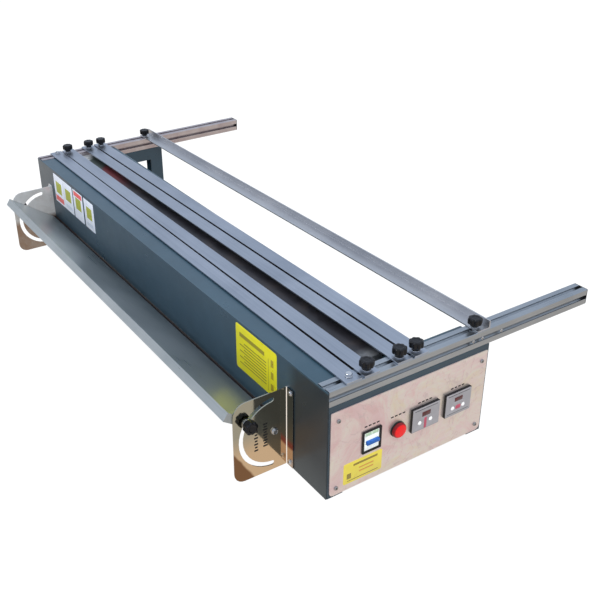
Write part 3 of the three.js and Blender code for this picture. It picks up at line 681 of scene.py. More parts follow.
def soften(points, radius, closed=False, steps=3):
    """Rounds the corners of a polyline."""
    out = []
    for i, point in enumerate(points):
        if not closed and i in (0, len(points) - 1):
            out.append(point)
            continue
        corner = Vector(point)
        back = Vector(points[i - 1]) - corner
        ahead = Vector(points[(i + 1) % len(points)]) - corner
        cut = min(radius / math.tan(back.angle(ahead) / 2),
                  back.length * 0.49, ahead.length * 0.49)
        start = corner + back / back.length * cut
        end = corner + ahead / ahead.length * cut
        for k in range(steps + 1):
            t = k / steps
            out.append(tuple((1 - t) ** 2 * start + 2 * t * (1 - t) * corner + t * t * end))
    return out


def washer(mesh, place, inner, outer, bottom, top, rim, count):
    outline = [(inner, bottom), (outer, bottom), (outer, top), (inner, top)]
    lathe(mesh, place, soften(outline, rim, closed=True), count, closed=True)


BOX_FACES = ((3, 2, 1, 0), (4, 5, 6, 7), (0, 1, 5, 4), (1, 2, 6, 5), (2, 3, 7, 6), (3, 0, 4, 7))


def rounded_box(mesh, low, high, radius, segments=2, place=Matrix()):
    corners = [mesh.verts.new(place @ (Vector((x, y, z)) * MM)) for z in (low[2], high[2])
               for x, y in ((low[0], low[1]), (high[0], low[1]),
                            (high[0], high[1]), (low[0], high[1]))]
    faces = [mesh.faces.new([corners[i] for i in face]) for face in BOX_FACES]
    if radius > 0:
        edges = list({edge for face in faces for edge in face.edges})
        bmesh.ops.bevel(mesh, geom=edges, offset=radius * MM, segments=segments,
                        profile=0.5, affect="EDGES")


def slab(mesh, place, outline, bottom, top, rim=0.0):
    """Flat piece from an outline, with its top edge rounded by rim."""
    rings = [[mesh.verts.new(place @ Vector((u * MM, v * MM, height * MM)))
              for u, v in outline] for height in (bottom, top)]
    mesh.faces.new(rings[0][::-1])
    lid = mesh.faces.new(rings[1])
    loft(mesh, rings)
    if rim > 0:
        bmesh.ops.bevel(mesh, geom=list(lid.edges), offset=rim * MM, segments=2,
                        profile=0.5, affect="EDGES")


def rounded(left, right, low, high, radius, steps=5):
    """Outline of a rectangle with rounded corners."""
    points = []
    for u, v, start in ((left + radius, low + radius, 180), (right - radius, low + radius, 270),
                        (right - radius, high - radius, 0), (left + radius, high - radius, 90)):
        for k in range(steps + 1):
            angle = math.radians(start + 90 * k / steps)
            points.append((u + radius * math.cos(angle), v + radius * math.sin(angle)))
    return points


def plate_with_holes(place, loops, thickness, rim):
    """Closed bmesh of a flat plate standing on its place; loops are outline, then holes."""
    curve = bpy.data.curves.new("plate_outline", "CURVE")
    curve.dimensions = "2D"
    curve.fill_mode = "BOTH"
    curve.extrude = (thickness / 2 - rim) * MM
    curve.bevel_depth = rim * MM
    curve.bevel_resolution = 1
    curve.offset = -rim * MM
    for loop in loops:
        spline = curve.splines.new("POLY")
        spline.points.add(len(loop) - 1)
        for point, (u, v) in zip(spline.points, loop):
            point.co = (u * MM, v * MM, 0, 1)
        spline.use_cyclic_u = True
    carrier = bpy.data.objects.new("plate_tmp", curve)
    scene.collection.objects.link(carrier)
    data = evaluated_mesh(carrier)
    bpy.data.objects.remove(carrier)
    bpy.data.curves.remove(curve)
    mesh = bmesh.new()
    mesh.from_mesh(data)
    bpy.data.meshes.remove(data)
    bmesh.ops.remove_doubles(mesh, verts=mesh.verts[:], dist=1e-6)
    middle = place @ Matrix.Translation((0, 0, thickness / 2 * MM))
    bmesh.ops.transform(mesh, matrix=middle, verts=mesh.verts[:])
    return mesh


def evaluated_mesh(source):
    bpy.context.view_layer.update()
    graph = bpy.context.evaluated_depsgraph_get()
    return bpy.data.meshes.new_from_object(source.evaluated_get(graph))


def sweep(mesh, path, radius, count=14, steps=8):
    """Round tube on a smooth path; path and radius are in metres."""
    knots = [Vector(point) for point in path]
    knots = [knots[0] * 2 - knots[1]] + knots + [knots[-1] * 2 - knots[-2]]
    points = []
    for a, b, c, d in zip(knots, knots[1:], knots[2:], knots[3:]):
        for k in range(steps):
            t = k / steps
            points.append(0.5 * ((2 * b) + (-a + c) * t + (2 * a - 5 * b + 4 * c - d) * t * t
                                 + (-a + 3 * b - 3 * c + d) * t ** 3))
    points.append(knots[-2])
    rings, side = [], None
    for i, point in enumerate(points):
        ahead = (points[min(i + 1, len(points) - 1)] - points[max(i - 1, 0)]).normalized()
        if side is None:
            side = ahead.orthogonal().normalized()
        side = (side - ahead * side.dot(ahead)).normalized()
        other = ahead.cross(side)
        angles = [2 * math.pi * k / count for k in range(count)]
        rings.append([mesh.verts.new(
            point + (side * math.cos(angle) + other * math.sin(angle)) * radius)
            for angle in angles])
    loft(mesh, rings)
    mesh.faces.new(rings[0][::-1])
    mesh.faces.new(rings[-1])


# ------------------------------------------------------------------ fasteners
STUD_RADIUS = 3.0
THREAD_PITCH = 1.0
HEAD_CHAMFER = 0.7


def hexagon(angle):
    """Radius factor of a hexagon, 1 at its corners."""
    turn = (angle + math.pi / 6) % (math.pi / 3) - math.pi / 6
    return math.cos(math.pi / 6) / math.cos(turn)


def hex_head(mesh, place, width, bottom, top, dish=True, count=48):
    """Hexagon head, width across flats, with a turned top."""
    flat, corner = width / 2, width / math.sqrt(3)
    # the turned chamfer cuts the corners lower than the flats
    shoulder = []
    rings = [ring(mesh, place, 0, bottom, count),
             ring(mesh, place, corner - 0.15, bottom, count, hexagon),
             ring(mesh, place, corner, bottom + 0.15, count, hexagon)]
    for i in range(count):
        angle = 2 * math.pi * i / count
        reach = corner * hexagon(angle)
        drop = HEAD_CHAMFER * max(0.0, (reach - flat * 0.97)) / (corner - flat * 0.97)
        point = Vector((reach * MM * math.cos(angle), reach * MM * math.sin(angle),
                        (top - 0.12 - drop) * MM))
        shoulder.append(mesh.verts.new(place @ point))
    profile = [(flat * 0.95, top)]
    if dish:
        profile += [(flat * 0.80, top), (flat * 0.74, top - 0.18), (0, top - 0.18)]
    else:
        profile.append((0, top))
    rings += [shoulder] + [ring(mesh, place, radius, z, count) for radius, z in profile]
    loft(mesh, rings)


def threaded(mesh, place, bottom, top):
    """Stud with thread-like grooves, ends chamfered."""
    radius, z = STUD_RADIUS, bottom + 0.4
    profile = [(0, bottom), (radius - 0.5, bottom), (radius - 0.12, z)]
    while z + THREAD_PITCH < top:
        profile += [(radius, z + THREAD_PITCH * 0.3), (radius, z + THREAD_PITCH * 0.45),
                    (radius - 0.42, z + THREAD_PITCH * 0.85)]
        z += THREAD_PITCH
    profile += [(radius - 0.12, top - 0.02), (0, top)]
    lathe(mesh, place, profile, 20)


def cross_recess(target, place, size, width, depth):
    """Cuts a cross recess into a screw head; its cut faces take the near-black painted shade material."""
    for x, y in ((size, width / 2), (width / 2, size)):
        mesh = bmesh.new()
        rounded_box(mesh, (-x, -y, -depth), (x, y, 3), 0, place=place)
        data = bpy.data.meshes.new("cutter")
        mesh.to_mesh(data)
        mesh.free()
        data.materials.append(recess_painted_shade)
        cutter = bpy.data.objects.new("cutter_tmp", data)
        scene.collection.objects.link(cutter)
        cut = target.modifiers.new("recess", "BOOLEAN")
        cut.operation = "DIFFERENCE"
        cut.solver = "EXACT"
        cut.object = cutter
        cut.material_mode = "TRANSFER"
        result = evaluated_mesh(target)
        target.modifiers.clear()
        uncut = target.data
        target.data = result
        bpy.data.meshes.remove(uncut)
        bpy.data.objects.remove(cutter)
        bpy.data.meshes.remove(data)


def pan_screw(name, origin, direction, radius, height, shank, turn, shank_radius=2.0,
              body="cabinet", material=steel, washer_radius=0.0):
    """Pan-head screw standing on a face; origin is the head's centre on that face."""
    place = turned(axis_frame(origin, direction), turn)
    mesh = bmesh.new()
    z = 0.0
    if washer_radius:
        z = 0.8
        washer(mesh, place, shank_radius + 0.3, washer_radius, 0, z, rim=0.2, count=36)
    lathe(mesh, place, [
        (0, -shank), (shank_radius * 0.7, -shank), (shank_radius, -shank + 0.6),
        (shank_radius, z - 0.001), (radius - 0.25, z), (radius, z + 0.25),
        (radius * 0.985, z + height * 0.45), (radius * 0.90, z + height * 0.74),
        (radius * 0.70, z + height * 0.92), (radius * 0.40, z + height * 0.985),
        (0, z + height)], 36)
    screw = finish_piece(name, mesh, material, body)
    cross_recess(screw, place @ Matrix.Translation((0, 0, (z + height) * MM)),
                 size=radius * 0.62, width=radius * 0.24, depth=height * 0.55)
    shade_smooth(screw.data, 38)
    return screw


# ------------------------------------------------------------------ knobs
def knob(name, node, direction, washer_radius, turn):
    """Moulded grip with eight flutes on a neck, steel washer and threaded stud."""
    low, high, top = cad_box(node)
    size, direction = high - low, Vector(direction)
    axis = 2 if direction.z else 0
    top[axis] = (high if direction[axis] > 0 else low)[axis]
    radius = max(size[i] for i in range(3) if i != axis) / 2 / MM
    place = turned(axis_frame(top, direction), turn)

    def flute(depth):
        return lambda angle: 1.0 - depth / radius * (0.5 - 0.5 * math.cos(8 * angle)) ** 1.7

    profile = [  # radius, height, flute depth
        (0, -16.5, 0), (6.0, -16.5, 0), (6.7, -16.2, 0), (6.9, -15.5, 0), (6.9, -13.6, 0),
        (7.3, -12.7, 0), (8.2, -12.1, 0), (9.6, -11.9, 0.2), (10.9, -11.75, 0.9),
        (11.9, -11.2, 1.5), (radius - 0.1, -10.2, 1.8), (radius, -9.0, 1.9),
        (radius, -6.5, 1.9), (radius, -3.6, 1.9), (radius - 0.15, -2.4, 1.85),
        (radius - 0.6, -1.3, 1.7), (radius - 1.4, -0.6, 1.35), (radius - 2.6, -0.22, 0.8),
        (radius - 4.2, -0.06, 0.25), (7.0, 0, 0), (6.2, -0.02, 0), (5.8, -0.22, 0),
        (5.5, -0.62, 0), (5.1, -0.72, 0), (3.0, -0.60, 0), (0, -0.55, 0)]
    mesh = bmesh.new()
    lathe(mesh, place, [(reach, z, flute(depth)) for reach, z, depth in profile], 96)
    finish_piece(name, mesh, knob_black, BODY[node], sharp=42, replaces=node)
    mesh = bmesh.new()
    washer(mesh, place, 3.25, washer_radius, -17.95, -16.6, rim=0.35, count=48)
    threaded(mesh, place, -size[axis] / MM, -16.3)
    finish_piece(name + "_stud", mesh, steel, BODY[node])


UP = (0, 0, 1)
for n in (2, 3, 4):
    for side, extra_turn in zip(SIDES, (0, 0.3)):
        knob(f"plate_{n}_grip_{side}", f"plate_{n}_knob_{side}", UP, washer_radius=8.2,
             turn=0.13 * n + extra_turn)
for side, turn in zip(SIDES, (0.21, 0.05)):
    knob(f"backstop_grip_{side}", f"backstop_knob_{side}", UP, washer_radius=6.3, turn=turn)
for side, outward, turn in zip(SIDES, (1, -1), (0.15, 0.3)):
    knob(f"tray_grip_{side}", f"tray_lock_knob_{side}", (outward, 0, 0), washer_radius=8.6,
         turn=turn)


# ------------------------------------------------------------------ bolts and screws
def plate_bolt(side, turn):
    """Hexagon bolt, washer and slot nut that hold the first slit plate to a rail."""
    node = f"plate_1_bolt_{side}"
    low, high, centre = cad_box(node)
    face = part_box("slit_plate_1")[1].z
    nut_low, nut_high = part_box("plate_2_tnut_near")
    seat = Matrix.Translation((centre.x, centre.y, face))
    place = turned(seat, turn)
    mesh = bmesh.new()
    washer(mesh, place, 3.2, 6.2, 0.25, 1.65, rim=0.35, count=40)
    hex_head(mesh, place, width=10.0, bottom=1.7, top=(high.z - face) / MM)
    threaded(mesh, place, (low.z - face) / MM, 1.6)
    rounded_box(mesh, (-5.6, -7.0, (nut_low.z - face) / MM),
                (5.6, 7.0, (nut_high.z - face) / MM), 0.4, place=seat)
    finish_piece(f"plate_1_hexbolt_{side}", mesh, steel, BODY[node],
                 sharp=30, replaces=node)


def pivot_bolt(side, outward):
    """Hexagon bolt with washer and nut at a tray pivot."""
    node = f"tray_pivot_bolt_{side}"
    low, high, centre = cad_box(node)
    head, inner = (high.x, low.x) if outward > 0 else (low.x, high.x)
    place = turned(axis_frame((head, centre.y, centre.z), (outward, 0, 0)), 0.2)
    length = abs(head - inner) / MM
    mesh = bmesh.new()
    washer(mesh, place, 3.2, 6.4, -3.95, -2.95, rim=0.25, count=36)
    hex_head(mesh, place, width=9.6, bottom=-2.9, top=0.0)
    threaded(mesh, place, -length, -2.8)
    hex_head(mesh, place, width=9.6, bottom=-length, top=-length + 4.6, dish=False)
    finish_piece(f"tray_pivot_hexbolt_{side}", mesh, steel, BODY[node],
                 sharp=30, replaces=node)


def panel_screw(where, turn):
    """Screw at a corner of the control plate, its head a little clear of the plate."""
    gap = 0.3
    node = f"panel_screw_{where}"
    low, high, centre = cad_box(node)
    screw = pan_screw(f"panel_panscrew_{where}", (panel_high.x + gap * MM, centre.y, centre.z),
                      (1, 0, 0), radius=(high.y - low.y) / 2 / MM,
                      height=(high.x - panel_high.x) / MM - gap, shank=8.0, turn=turn,
                      body=BODY[node], material=steel_dull)
    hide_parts(node)


def bracket_screws(side):
    """Two screws that hold a bracket's flange to the front panel."""
    low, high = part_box(f"tray_bracket_{side}")
    seat = front_low.y - 0.0024
    for level, z, inset, turn in (("lower", low.z + 0.0098, 0.0078, 0.3),
                                  ("upper", high.z - 0.0062, 0.0062, 0.8)):
        x = (high.x - inset) if side == "near" else (low.x + inset)
        pan_screw(f"bracket_screw_{side}_{level}", (x, seat, z), (0, -1, 0), radius=3.9,
                  height=2.6, shank=5.0, turn=turn, washer_radius=5.0)


def rail_screws(side, outward):
    """Screws in a rail's outer slot."""
    low, high, centre = cad_box(f"{side}_rail")
    slot_floor = (high.x if outward > 0 else low.x) - outward * 0.0021
    for k, run in enumerate((0.3007, 0.3215, 0.3660)):
        pan_screw(f"rail_screw_{side}_{k + 1}", (slot_floor, low.y + run, centre.z),
                  (outward, 0, 0), radius=3.0, height=1.9, shank=4.4, turn=0.4 + 0.7 * k,
                  shank_radius=1.9)


def rail_cap(side):
    """Plain black cap on a rail's rear end."""
    low, high, centre = cad_box(f"{side}_rail")
    place = axis_frame((centre.x, high.y + 0.00002, centre.z), (0, 1, 0))
    half = (high.x - low.x) / 2 / MM - 0.15
    mesh = bmesh.new()
    slab(mesh, place, rounded(-half, half, -half, half, 1.4), 0.0, 1.6, rim=0.4)
    finish_piece(f"rail_cap_{side}", mesh, black)


panel_low, panel_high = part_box("control_panel_plate")
front_low, front_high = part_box("front_panel")
for side, turn in zip(SIDES, (0.35, 0.1)):
    plate_bolt(side, turn)
for side, outward in zip(SIDES, (1, -1)):
    pivot_bolt(side, outward)
for where, turn in (("front_lower", 0.6), ("back_lower", 0.25), ("front_upper", 0.9),
                    ("back_upper", 0.45)):
    panel_screw(where, turn)
for side in SIDES:
    bracket_screws(side)
for side, outward in zip(SIDES, (1, -1)):
    rail_screws(side, outward)
for side in SIDES:
    rail_cap(side)


# ------------------------------------------------------------------ control plate devices
def facing_out(x, y, z):
    """Frame on the control plate's side: local X along +Y, local Y up, out along +X."""
    return axis_frame((x, y, z), (1, 0, 0))


def pilot_lamp():
    """Low knurled bezel under a flat-fronted lens."""
    low, high, centre = cad_box("pilot_lamp_body")
    radius, length = (high.y - low.y) / 2 / MM, (high.x - low.x) / MM

    def knurl(angle):
        return 1.0 - 0.012 * (0.5 + 0.5 * math.cos(36 * angle))

    mesh = bmesh.new()
    lathe(mesh, facing_out(high.x, centre.y, centre.z), [
        (0, -length), (9.6, -length), (10.4, -length + 0.8), (10.8, -length + 2),
        (10.8, -2.82), (radius - 0.4, -2.76), (radius, -2.5, knurl), (radius, -1.2, knurl),
        (radius - 0.25, -0.6, knurl), (radius - 0.75, -0.12), (radius - 1.2, 0), (8.0, 0),
        (0, 0)], 144)
    finish_piece("pilot_lamp_bezel", mesh, black, sharp=40,
                 replaces="pilot_lamp_body")

    low, high, centre = cad_box("pilot_lamp_lens")
    radius, height = (high.y - low.y) / 2 / MM, (high.x - low.x) / MM
    mesh = bmesh.new()
    lathe(mesh, facing_out(low.x, centre.y, centre.z), [
        (0, 0), (radius - 0.2, 0), (radius, 0.3), (radius, 3.0), (radius - 0.2, 3.5),
        (radius - 0.75, 4.5), (radius - 1.3, 5.1), (radius - 2.3, 5.7), (radius - 3.4, 6.05),
        (radius - 5.4, 6.35), (radius - 8.0, height - 0.12), (0, height)], 96)
    finish_piece("pilot_lamp_dome", mesh, lamp_red, sharp=50,
                 replaces="pilot_lamp_lens")


def breaker_toggle():
    """White drum on the rocking axis with a blue, ribbed handle across it."""
    low, high, centre = cad_box("breaker_toggle")
    half = (high.y - low.y) / MM / 2
    pivot_x, pivot_y, pivot_z = joint_place("toggle_rock")
    mesh = bmesh.new()
    lathe(mesh, axis_frame((pivot_x, centre.y, pivot_z), (0, 1, 0)),
          soften([(0, -half), (8.0, -half), (8.0, half), (0, half)], 0.35), 64)
    finish_piece("breaker_drum", mesh, white, "toggle", sharp=40)

    reach = (high.x - pivot_x) / MM
    left, right = (low.y - pivot_y) / MM, (high.y - pivot_y) / MM
    place = Matrix.Translation((pivot_x, pivot_y, pivot_z))
    mesh = bmesh.new()
    rounded_box(mesh, (6.0, left + 0.15, -3.7), (reach, right - 0.15, 3.7), 1.1, 3, place)
    for vert in mesh.verts:
        # the handle tapers to a thin lip at its outer end
        t = max(0.0, min(1.0, (vert.co.x - pivot_x) / (reach * MM)))
        vert.co.z = pivot_z + (vert.co.z - pivot_z) * (1.14 - 0.26 * t)
    for k in range(3):
        x, half = 8.7 + k * 1.0, 3.78 - k * 0.06
        rounded_box(mesh, (x, left + 1.2, -half), (x + 0.5, right - 1.2, half), 0.15, 1, place)
    finish_piece("breaker_handle", mesh, blue, "toggle", sharp=40,
                 replaces="breaker_toggle")


def breaker_strips():
    """Tinted strips above and below the toggle, split at the joint between the poles."""
    _, body_high, centre = cad_box("breaker_body")
    bezel_low, bezel_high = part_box("breaker_bezel")
    green = make_plastic("strip_green", srgb(196, 222, 188), rough=(0.4, 0.5), grain=0.1,
                         vary=0.03, painted_glow=0.28)
    pale = make_plastic("strip_pale", srgb(240, 242, 240), rough=(0.4, 0.5), grain=0.1,
                        vary=0.03, painted_glow=0.4)
    for where, bottom, top, material in (
            ("upper", bezel_high.z - 0.0108, bezel_high.z - 0.0052, green),
            ("lower", bezel_low.z + 0.0052, bezel_low.z + 0.0092, pale)):
        place = facing_out(body_high.x, centre.y, (bottom + top) / 2)
        half = (top - bottom) / 2 / MM
        mesh = bmesh.new()
        for left, right in ((-13.2, -0.7), (0.7, 13.2)):
            slab(mesh, place, rounded(left, right, -half, half, 0.8), -0.2, 0.22, rim=0.1)
        finish_piece(f"breaker_strip_{where}", mesh, material)


HOLE_GAP = 0.35  # around a key
FRONT = dict(thickness=0.7, rim=0.15)
# rectangles are (left, right, bottom, top) from the housing's low corner;
# set_key adds the corner radius, top height and rim
CONTROLLERS = {
    1: dict(display=(20.8, 39.8, 26.3, 36.0), set_key=((26.4, 31.6, 2.4, 23.4), 1.0, 1.05, 0.2)),
    2: dict(display=(19.8, 38.4, 27.6, 36.4), set_key=((23.2, 34.2, 12.2, 19.4), 1.2, 1.15, 0.25)),
}


def controller(k, display, set_key):
    """Dark housing, grey front, recessed display, domed keys."""
    node = f"controller_{k}"
    low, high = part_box(node)
    dress(node, black, 0.45)
    width, height = (high.y - low.y) / MM, (high.z - low.z) / MM
    place = facing_out(high.x, low.y, low.z)

    keys = []  # name, u, v, radius, CAD box
    for where in ("down", "up"):
        key_low, key_high, centre = cad_box(f"{node}_button_{where}")
        keys.append((where, (centre.y - low.y) / MM, (centre.z - low.z) / MM,
                     (key_high.y - key_low.y) / 2 / MM, key_low, key_high))
    loops = [rounded(0.7, width - 0.7, 0.7, height - 0.8, 1.4)]
    angles = [-2 * math.pi * i / 32 for i in range(32)]
    for _, u, v, radius, _, _ in keys:
        hole = radius + HOLE_GAP
        loops.append([(u + hole * math.cos(a), v + hole * math.sin(a)) for a in angles])
    loops.append(rounded(*display, 0.8)[::-1])
    finish_piece(f"{node}_front", plate_with_holes(place, loops, **FRONT), grey)

    left, right, bottom, top = display
    mesh = bmesh.new()
    window = rounded(left + 0.15, right - 0.15, bottom + 0.15, top - 0.15, 0.7)
    slab(mesh, place, window, 0.02, 0.42, rim=0.12)
    finish_piece(f"{node}_display", mesh, screen_red)

    rectangle, corner, key_top, rim = set_key
    mesh = bmesh.new()
    slab(mesh, place, rounded(*rectangle, corner), 0.6, key_top, rim)
    finish_piece(f"{node}_set_key", mesh, pink)

    mesh = bmesh.new()
    slab(mesh, place, rounded(5.0, width - 5.0, height - 4.9, height - 4.1, 0.35), 0.6, 0.9, 0.1)
    if k == 2:
        slab(mesh, place, rounded(5.0, width - 5.0, 5.2, 5.8, 0.28), 0.6, 0.9, 0.08)
    finish_piece(f"{node}_rules", mesh, black)

    for where, u, v, radius, key_low, key_high in keys:
        button = f"{node}_button_{where}"
        rise = (key_high.x - key_low.x) / MM
        mesh = bmesh.new()
        lathe(mesh, facing_out(key_low.x, low.y + u * MM, low.z + v * MM), [
            (0, 0), (radius - 0.2, 0), (radius, 0.2), (radius, rise - 1.0),
            (radius - 0.15, rise - 0.55), (radius - 0.6, rise - 0.22),
            (radius - 1.5, rise - 0.06), (0, rise)], 48)
        finish_piece(f"{node}_key_{where}", mesh, button_white,
                     BODY[button], sharp=50, replaces=button)


pilot_lamp()
breaker_toggle()
breaker_strips()
for k, layout in CONTROLLERS.items():
    controller(k, **layout)


# ------------------------------------------------------------------ heaters and gland
TUBE_HEIGHT = 0.172  # metres, axis of the heater tubes
HOLDER_LENGTH = 0.022


def heater(where):
    """Quartz tube, a ceramic holder at each end, and a lead at the near end."""
    node = f"heater_element_{where}"
    low, high, centre = cad_box(node)
    length = (high.x - low.x) / MM
    mesh = bmesh.new()
    lathe(mesh, axis_frame((low.x, centre.y, TUBE_HEIGHT), (1, 0, 0)), [
        (0, 14), (5.2, 14), (5.8, 15), (6.0, 16.5), (6.0, length - 16.5),
        (5.8, length - 15), (5.2, length - 14), (0, length - 14)])
    finish_piece(f"heater_tube_{where}", mesh, quartz, sharp=50, replaces=node)

    mesh = bmesh.new()
    for start, end in ((low.x, low.x + HOLDER_LENGTH), (high.x - HOLDER_LENGTH, high.x)):
        rounded_box(mesh, (start / MM, (centre.y - 0.005) / MM, low.z / MM),
                    (end / MM, (centre.y + 0.005) / MM, high.z / MM), 1.2, 3)
        lathe(mesh, axis_frame(((start + end) / 2, centre.y, high.z - 0.0004), UP), [
            (0, -1), (2.9, -1), (3.1, -0.2), (3.1, 0.9), (2.6, 1.5), (1.2, 1.8), (0, 1.8)], 24)
    finish_piece(f"heater_holders_{where}", mesh, ceramic)

    path = [(high.x + dx, centre.y + dy, high.z + dz) for dx, dy, dz in (
        (-0.011, 0, 0), (-0.010, 0.002, 0.004), (-0.002, 0.008, 0.008),
        (0.003, 0.012, -0.004), (0.003, 0.012, -0.030))]
    mesh = bmesh.new()
    sweep(mesh, path, radius=0.0016)
    finish_piece(f"heater_lead_{where}", mesh, ceramic)


def cable_gland():
    """Hexagon collar and ribbed nut on the back of the control box."""
    _, high, centre = cad_box("cable_gland")
    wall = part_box("control_box_shell")[1].y
    out = (high.y - wall) / MM

    def collar(angle):
        return hexagon(angle) * 1.03

    def rib(angle):
        return 1.0 - 0.03 * (0.5 + 0.5 * math.cos(18 * angle))

    profile = [(4.2, -10.0), (7.4, -10.0), (8.0, -9.4), (8.0, 0.2), (11.6, 0.3, collar),
               (12.2, 0.8, collar), (12.2, 4.2, collar), (11.6, 4.8, collar), (9.4, 5.0)]
    profile += [(radius, z, rib if 6 < z < out - 2 else None) for radius, z in (
        (9.4, 5.6), (9.0, 6.2), (9.0, out - 3.6), (8.4, out - 1.4), (7.0, out - 0.3),
        (5.0, out), (4.2, out - 0.4))]
    mesh = bmesh.new()
    lathe(mesh, axis_frame((centre.x, wall, centre.z), (0, 1, 0)), profile, 72, closed=True)
    finish_piece("cable_gland_nut", mesh, black, sharp=35,
                 replaces="cable_gland")


for where in ("front", "rear"):
    heater(where)
cable_gland()


# ------------------------------------------------------------------ notices and marks
def notice_material(name, ground, blocks, across, corner, painted_glow):
    """Printed film: ground colour with (left, right, bottom, top, colour) blocks in mm."""
    mat = Mat(name)
    coords = mat.xyz()
    u = mat.mul(mat.sub(coords[across], corner[across]), 1000.0)
    v = mat.mul(mat.sub(coords[2], corner[2]), 1000.0)
    clouds = mat.noise(55.0, detail=4, rough=0.6)
    colour = mat.ramp(clouds, [(0.3, tint(ground, 0.94)), (0.7, tint(ground, 1.04))])
    for left, right, bottom, top, ink in blocks:
        block = mat.mul(mat.band(u, left, right), mat.band(v, bottom, top))
        colour = mat.mix(block, colour, ink)
    # lift gives the film a painted glow of its own colour
    mat.set(Base_Color=colour, Roughness=mat.remap(clouds, (0.3, 0.7), to=(0.26, 0.38)),
            Coat_Weight=0.2, Coat_Roughness=0.1, Emission_Color=colour, Emission_Strength=painted_glow)
    mat.bump((mat.noise(90.0, detail=3), 0.05, 0.0003))
    return mat.material


def notice(name, film, corner, direction, width, height, radius, ground, blocks, painted_glow):
    """Thin film on a wall that faces direction; corner is its lower left, in metres."""
    across = 1 if direction[0] else 0
    material = notice_material(film, ground, blocks, across, corner, painted_glow)
    mesh = bmesh.new()
    slab(mesh, axis_frame(corner, direction), rounded(0, width, 0, height, radius),
         -0.02, 0.16, rim=0.05)
    finish_piece(name, mesh, material)


def front_notice():
    """Large yellow notice at the near end of the front panel."""
    ochre, square, title = srgb(128, 116, 18), srgb(178, 158, 20), srgb(160, 146, 18)
    blocks = [(26.0 if k % 2 else 12.0, 98.0, 14.0 + 6.1 * k, 15.9 + 6.1 * k, ochre)
              for k in range(8)]
    blocks.append((104.0, 104.9, 6.0, 70.0, ochre))
    blocks += [(112.0, 120.0, v, v + 14.0, square) for v in (10.0, 34.0, 58.0)]
    blocks.append((12.0, 92.0, 68.0, 76.0, title))
    corner = (front_high.x - 0.2715, front_low.y, front_high.z - 0.0965)
    notice("notice_blank_front", "label_yellow_front", corner, (0, -1, 0), width=130.0,
           height=91.0, radius=5.0, ground=srgb(240, 230, 16), blocks=blocks, painted_glow=0.10)


def white_notices():
    """Row of white notices at the far end of the front panel."""
    red, green, pale = srgb(232, 96, 92), srgb(168, 172, 52), srgb(206, 214, 224)
    height = 73.0
    for k, (x, width, ink, bottom, top, inset) in enumerate((
            (-0.5245, 61.0, red, 4.0, 18.0, 4.0),
            (-0.4625, 60.0, pale, 7.0, 16.0, 10.0),
            (-0.3960, 58.0, red, 58.0, height - 3.0, 4.0),
            (-0.3290, 56.0, pale, 7.0, 16.0, 10.0))):
        blocks = [(12.0, width - 12.0, 26.0, 56.0, green),
                  (inset, width - inset, bottom, top, ink)]
        notice(f"notice_blank_{k + 1}", f"label_white_{k + 1}", (x, front_low.y, 0.1290),
               (0, -1, 0), width=width, height=height, radius=1.5,
               ground=srgb(232, 236, 246), blocks=blocks, painted_glow=0.22)


def panel_notice():
    """Yellow notice on the control plate."""
    amber = srgb(214, 158, 62)
    blocks = [(20.0, 70.0, 31.5, 36.0, srgb(150, 128, 50)), (32.0, 62.0, 22.0, 25.0, amber),
              (32.0, 62.0, 15.0, 18.0, amber), (7.0, 16.0, 9.0, 20.0, srgb(150, 132, 56)),
              (8.0, 72.0, 4.0, 6.0, srgb(160, 140, 60))]
    corner = (panel_high.x, panel_low.y + 0.0275, panel_low.z + 0.0118)
    notice("notice_blank_panel", "label_yellow_panel", corner, (1, 0, 0), width=79.5,
           height=42.0, radius=3.0, ground=srgb(242, 222, 84), blocks=blocks, painted_glow=0.30)


def device_marks():
    """Four short bars above each device."""
    pitch = 8.2
    mesh = bmesh.new()
    for node, rise in (("breaker_bezel", 8.0), ("pilot_lamp_body", 13.0),
                       ("controller_1", 6.5), ("controller_2", 6.5)):
        _, high, centre = cad_box(node)
        for k in range(4):
            place = facing_out(panel_high.x, centre.y + (k - 1.5) * pitch * MM,
                               high.z + rise * MM)
            slab(mesh, place, rounded(-2.9, 2.9, -1.3, 1.3, 0.5, 3), -0.02, 0.10)
    finish_piece("device_marks", mesh, black)


def bracket_graduation():
    """Two columns of alternating long and short marks on the near bracket's web."""
    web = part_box("tray_bracket_near")[0].x + 0.002
    _, pivot_y, pivot_z = joint_place("tray_tilt")
    ink = make_plastic("ink_black", (0.012, 0.012, 0.012), rough=(0.4, 0.5), grain=0.1)
    mesh = bmesh.new()
    # count, distance before the pivot, top mark's height over it, pitch, half lengths
    for count, before, top, pitch, halves in ((9, 17.9, 21.6, 5.5, (4.4, 3.0)),
                                              (7, 35.9, 12.6, 6.3, (3.8, 2.6))):
        for k in range(count):
            place = facing_out(web, pivot_y - before * MM, pivot_z + (top - pitch * k) * MM)
            half = halves[k % 2]
            slab(mesh, place, rounded(-half, half, -1.6, 1.6, 0.4, 3), -0.02, 0.10)
    finish_piece("bracket_graduation", mesh, ink)


front_notice()
white_notices()
panel_notice()
device_marks()
bracket_graduation()


